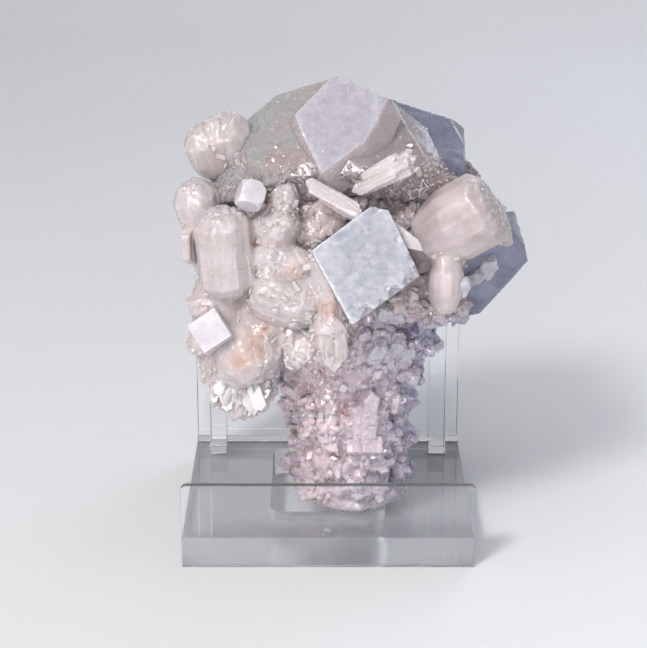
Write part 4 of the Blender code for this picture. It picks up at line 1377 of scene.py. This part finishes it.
def feature_piece(name, crystals, mesh_size, slot, look, seed):
    """Fused group of larger crystals with a lightly worn surface."""
    item = fuse(name, joined_mesh(name, crystals), mesh_size)
    smoothed(item, 1)
    points, normals = read_points(item)
    wear = facets(points, 1.2, seed, 0.22) + layered(points, 2.0, seed + 3, 2) * 0.08
    write_points(item, points + normals * wear[:, None])
    store(item, "stain", near_spots(points, STEM_STAINS) * 0.6)
    store_zeros(item, "seam", "edge")
    return finish(item, slot, look)


stem_features = [
    blade(resting((8.9, -19.0, 29.5)), (0.05, -0.10, 1.0), (1.0, 0.3, 0.0), 7.2, 1.7, 1.6, 44.0),
    blade(resting((7.2, -19.0, 28.0)), (-0.06, -0.12, 1.0), (1.0, -0.3, 0.0), 5.8, 1.4, 1.5, 40.0),
    blade(resting((8.2, -19.0, 33.0), -0.2), (0.12, -0.10, 1.0), (1.0, 0.5, 0.0), 3.6, 1.5, 1.3, 50.0),
    apophyllite(resting((9.4, -18.5, 23.0), 0.3), (0.2, -0.8, 0.5), ACROSS, 2.3, 2.2, 3.2, 1.9),
    apophyllite(resting((6.2, -18.5, 22.6), 0.3), (-0.3, -0.8, 0.6), ACROSS, 1.8, 1.9, 2.6, 1.6),
    apophyllite(resting((14.7, -17.5, 32.3), 0.3), (0.1, -0.25, 1.0), ACROSS, 0.75, 2.0, 9.0, 0.7),
    barrel(resting((0.2, -18.5, 24.9), -0.3), (0.2, -0.9, 0.3), ACROSS, 1.9, 2.3, 2.2, 1.1),
    barrel(resting((-4.1, -24.0, 40.9), -0.2), (0.0, -1.0, 0.2), ACROSS, 0.9, 1.5, 1.5, 1.3),
    blade(resting((-8.2, -14.0, 34.0)), (-0.75, -0.2, 0.62), (0.6, 0.0, 0.75), 2.8, 0.9, 0.7),
    blade(resting((-7.4, -14.0, 29.4)), (-0.9, -0.2, 0.3), (0.3, 0.0, 0.95), 2.2, 0.9, 0.7),
    blade(resting((-7.2, -14.0, 25.6)), (-0.9, -0.2, 0.1), (0.1, 0.0, 0.95), 2.0, 0.8, 0.7),
    blade(resting((17.0, -14.0, 38.0)), (0.7, -0.4, 0.5), (0.6, 0.1, -0.8), 2.2, 1.1, 0.9),
    blade(resting((12.0, -16.0, 37.0)), (0.3, -0.6, 0.6), (0.9, 0.1, -0.2), 2.0, 1.2, 0.9),
    blade(resting((15.2, -14.0, 26.5)), (0.2, -0.4, 0.85), (0.9, 0.3, 0.0), 2.2, 1.1, 0.9),
    blade(resting((3.2, -18.0, 40.6)), (-0.3, -0.6, 0.7), (0.9, 0.1, 0.4), 2.2, 1.3, 1.0),
]
feature_piece("stem_crystals", stem_features, 0.28, "druse", pale_look, 61)

glassy_features = [
    apophyllite(resting((11.9, -29.0, 57.4), -0.4), (0.2, -0.5, 0.8), ACROSS, 1.5, 1.8, 2.2, 1.3),
    apophyllite(resting((14.5, -27.0, 55.9), -0.2), (-0.3, -0.6, 0.6), ACROSS, 1.6, 1.7, 2.1, 1.3),
    apophyllite(resting((10.1, -27.0, 54.2), -0.2), (0.4, -0.6, 0.3), ACROSS, 1.4, 1.5, 1.9, 1.2),
    blade(resting((34.6, -12.0, 62.0)), (0.45, -0.3, 0.8), (0.8, 0.2, -0.4), 3.4, 1.9, 1.4, 44.0),
    blade(resting((31.6, -12.0, 59.8)), (0.75, -0.3, 0.45), (0.4, 0.2, -0.8), 3.0, 1.5, 1.2, 44.0),
    blade(resting((29.4, -12.0, 57.6)), (0.3, -0.4, 0.8), (0.9, 0.2, -0.2), 2.6, 1.3, 1.2, 44.0),
    blade(resting((10.6, -20.5, 45.6), 0.3), (0.42, -0.55, 0.8), (0.86, 0.1, -0.42), 3.6, 1.5, 1.3),
    blade(resting((14.6, -19.0, 46.2), 0.4), (0.55, -0.6, 0.7), (0.8, 0.1, -0.5), 3.0, 1.4, 1.2),
    blade(resting((17.0, -19.0, 44.8), 0.2), (0.85, -0.2, 0.42), (0.4, 0.1, -0.9), 2.4, 1.3, 1.1),
    blade(resting((12.9, -19.0, 43.2), 0.2), (-0.25, -0.3, 0.9), (0.9, 0.1, 0.2), 2.4, 1.3, 1.1),
    blade(resting((-19.0, -18.0, 88.6)), (0.6, -0.5, 0.4), (0.1, 0.5, 0.8), 0.9, 0.5, 0.3),
    blade(resting((-24.6, -16.0, 84.6)), (0.5, -0.5, 0.6), (0.1, 0.5, 0.8), 0.8, 0.5, 0.3),
]
feature_piece("glassy_crystals", glassy_features, 0.20, "milky_crystal", glassy_look, 67)

side_plate = fuse("side_plate", joined_mesh("side_plate", [SIDE_PLATE]), 0.30)
store_zeros(side_plate, "stain", "seam", "edge")
finish(side_plate, "stilbite", white_look)

# A fan of thin plates at the lower left, spread around one middle.
FAN_COUNT = 38
FAN_MIDDLE = (-17.6, -27.2, 44.9)
FAN_START = -1.10
FAN_SPREAD = 1.50
throw = dice.uniform
plate_shapes = []
for index in range(FAN_COUNT):
    turn = FAN_START + FAN_SPREAD * (index + throw(-0.4, 0.4)) / (FAN_COUNT - 1.0)
    way = Vector((math.sin(turn) * 0.9, -0.20, -math.cos(turn)))
    reach = throw(3.0, 7.2) * (1.0 if turn > -0.6 else 0.75)
    middle = Vector(FAN_MIDDLE) + Vector((0.0, throw(-0.8, 0.8), 0.0)) + way * reach
    side = Vector((math.cos(turn), throw(-0.25, 0.45), math.sin(turn)))
    plate_shapes.append(blade(
        middle, way, side, throw(2.4, 4.4), throw(1.2, 2.4), throw(0.2, 0.45), throw(30.0, 55.0)
    ))
fan_item = add_object("fan_plates", joined_mesh("fan_plates", plate_shapes))
write_points(fan_item, read_points(fan_item)[0])
store_zeros(fan_item, "stain", "seam", "edge")
finish(fan_item, "stilbite", fan_look, smooth=False)

# Needles in the hollow beside the right sheaf.
NEEDLE_LEAN = 1.3
needle_shapes = []
for _ in range(16):
    spot = resting((18.3 + throw(-2.6, 2.2), -24.0, 82.4 + throw(-2.4, 2.0)), 0.2)
    way = Vector((throw(-0.9, 0.9), -0.5 + throw(-0.4, 0.4), throw(-0.6, 0.9)))
    side = Vector((throw(-1, 1), throw(-1, 1), NEEDLE_LEAN))
    needle_shapes.append(blade(spot, way, side, throw(0.9, 1.9), 0.09, 0.07, 30.0))
needles = add_object("needle_crystals", joined_mesh("needle_crystals", needle_shapes))
store_zeros(needles, "edge")
finish(needles, "milky_crystal", speck_look, smooth=False)


# The stand

PLATE_EDGE = 0.25
BASE_EDGE = 0.18
LIP_EDGE = 0.22
SAWN_EDGE = 0.4
HOLE_PLACE = -25.6
HOLE_REACH = 1.4


def plate(name, low, high):
    """Acrylic plate with softened edges, in the shared frame."""
    shape = bmesh.new()
    bmesh.ops.create_cube(shape, size=1.0)
    bmesh.ops.scale(shape, vec=Vector(high) - Vector(low), verts=shape.verts[:])
    bmesh.ops.translate(shape, vec=(Vector(high) + Vector(low)) * 0.5, verts=shape.verts[:])
    bmesh.ops.bevel(
        shape, geom=shape.edges[:], offset=PLATE_EDGE * MM, segments=3, profile=0.6,
        affect="EDGES"
    )
    mesh = bpy.data.meshes.new(name)
    shape.to_mesh(mesh)
    shape.free()
    return add_object(name, mesh)


def sawn_plate(name, node, edge, is_sawn):
    """A solid's own plate with softened edges, and with tool marks on its sawn faces."""
    item = add_object(name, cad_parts[node].data.copy())
    step = item.modifiers.new("edges", "BEVEL")
    step.width = edge * MM
    step.segments = 2
    step.limit_method = "ANGLE"
    bake_modifiers(item)
    finish(item, "acrylic", acrylic_look, node, smooth=False)
    item.data.materials.append(sawn_look)
    for polygon in item.data.polygons:
        polygon.material_index = int(is_sawn(polygon))


def lip_sawn(polygon):
    """The narrow faces around the lip."""
    return abs(polygon.normal.y) < 0.3


def base_sawn(polygon):
    """The front edge of the base, and the blind hole in its front bar."""
    place = polygon.center
    offset = Vector((place.x - HOME[0], place.y - HOME[1] - HOLE_PLACE * MM))
    return place.y < base_low.y + SAWN_EDGE * MM or offset.length < HOLE_REACH * MM


acrylic_look = acrylic_material()
sawn_look = sawn_material()
for node_name in ("stand_back", "stand_rib_left", "stand_rib_right"):
    low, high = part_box(node_name)
    item = plate(node_name + "_plate", low, high)
    finish(item, "acrylic", acrylic_look, node_name, smooth=False)
sawn_plate("lip_plate", "stand_lip", LIP_EDGE, lip_sawn)
sawn_plate("base_plate", "stand_base", BASE_EDGE, base_sawn)


# Floor, light and camera, in metres

# The floor is flat as far as the bend, which rises to an upright wall.
FLOOR_SIDE = 2.0
FLOOR_FRONT = -1.2
BEND_START = 0.6
BEND_RADIUS = 0.4
WALL_HEIGHT = 1.4
rows = [(FLOOR_FRONT + (BEND_START - FLOOR_FRONT) * step / 12.0, -0.0001) for step in range(13)]
for step in range(1, 7):
    bend = spoke(Vector((0.0, -BEND_RADIUS)), Vector((BEND_RADIUS, 0.0)), step * math.pi / 12.0)
    rows.append((BEND_START + bend.x, BEND_RADIUS + bend.y))
for step in range(1, 7):
    rows.append((BEND_START + BEND_RADIUS, BEND_RADIUS + WALL_HEIGHT * step / 6.0))
floor_points = []
floor_faces = []
for index, (y, z) in enumerate(rows):
    floor_points += [(-FLOOR_SIDE, y, z), (FLOOR_SIDE, y, z)]
    if index:
        floor_faces.append((2 * index - 2, 2 * index - 1, 2 * index + 1, 2 * index))
floor_mesh = bpy.data.meshes.new("floor")
floor_mesh.from_pydata(floor_points, [], floor_faces)
floor = add_object("floor", floor_mesh)
floor.data.shade_smooth()
floor_look = Nodes("pale_floor")
floor_tone = floor_look.ramp(
    floor_look.noise(400.0, 2.0), ((0.3, (0.78, 0.78, 0.79)), (0.7, (0.82, 0.82, 0.83)))
)
floor.data.materials.append(floor_look.finished(floor_tone, 0.42))

TARGET = Vector((0.0, 0.0, 0.06))


def soft_light(name, place, size, power, colour):
    """Soft rectangular studio light, aimed at the specimen."""
    light = bpy.data.lights.new(name, "AREA")
    light.shape = "RECTANGLE"
    light.size = size[0]
    light.size_y = size[1]
    light.energy = power
    light.color = colour
    item = add_object(name, light)
    item.location = place
    item.rotation_euler = (TARGET - Vector(place)).to_track_quat("-Z", "Y").to_euler()


soft_light("key_light", (-0.30, -0.50, 0.60), (0.16, 0.16), 3.8, (1.0, 0.985, 0.97))
soft_light("front_light", (-0.10, -0.80, 0.16), (0.3, 0.2), 2.6, (1.0, 0.98, 1.0))
soft_light("fill_light", (0.60, -0.25, 0.25), (0.4, 0.4), 0.55, (0.84, 0.90, 1.0))
soft_light("rim_light", (0.35, 0.55, 0.45), (0.4, 0.3), 1.3, (0.80, 0.87, 1.0))

# A pale studio room, in each direction as bright as its soft patches add up to.
ROOM_GLOW = 0.13
ROOM_PATCHES = (
    ((-0.45, -0.45, 0.77), 0.80, 0.95, 0.80),
    ((0.0, 0.0, 1.0), 0.1, 1.0, 0.17),
    ((0.75, 0.45, 0.45), 0.86, 0.95, 0.5),
    ((-0.80, 0.50, 0.30), 0.88, 0.96, 0.5),
)
world = bpy.data.worlds.new("studio")
bpy.context.scene.world = world
world.use_nodes = True
room = world.node_tree
background = room.nodes["Background"]
background.inputs["Color"].default_value = (0.97, 0.975, 1.0, 1.0)
direction = room.nodes.new("ShaderNodeTexCoord").outputs["Generated"]
glow = None
for toward, low, high, bright in ROOM_PATCHES:
    dot = room.nodes.new("ShaderNodeVectorMath")
    dot.operation = "DOT_PRODUCT"
    dot.inputs[1].default_value = Vector(toward).normalized()
    room.links.new(direction, dot.inputs[0])
    soft = room.nodes.new("ShaderNodeMapRange")
    soft.interpolation_type = "SMOOTHSTEP"
    soft.inputs["From Min"].default_value = low
    soft.inputs["From Max"].default_value = high
    soft.inputs["To Max"].default_value = bright
    room.links.new(dot.outputs["Value"], soft.inputs["Value"])
    total = room.nodes.new("ShaderNodeMath")
    total.operation = "ADD"
    total.inputs[1].default_value = ROOM_GLOW
    room.links.new(soft.outputs["Result"], total.inputs[0])
    if glow is not None:
        room.links.new(glow, total.inputs[1])
    glow = total.outputs["Value"]
room.links.new(glow, background.inputs["Strength"])

bpy.context.scene.view_settings.view_transform = "Standard"
bpy.context.scene.view_settings.exposure = 0.0

camera_data = bpy.data.cameras.new("camera")
camera_data.lens = 109.9
camera_data.sensor_width = 36.0
camera_data.clip_start = 0.01
camera = add_object("camera", camera_data)
camera.location = CAMERA_SPOT * MM + Vector(HOME)
camera.rotation_euler = (math.radians(90.0) - VIEW_PITCH, 0.0, 0.0)
bpy.context.scene.camera = camera
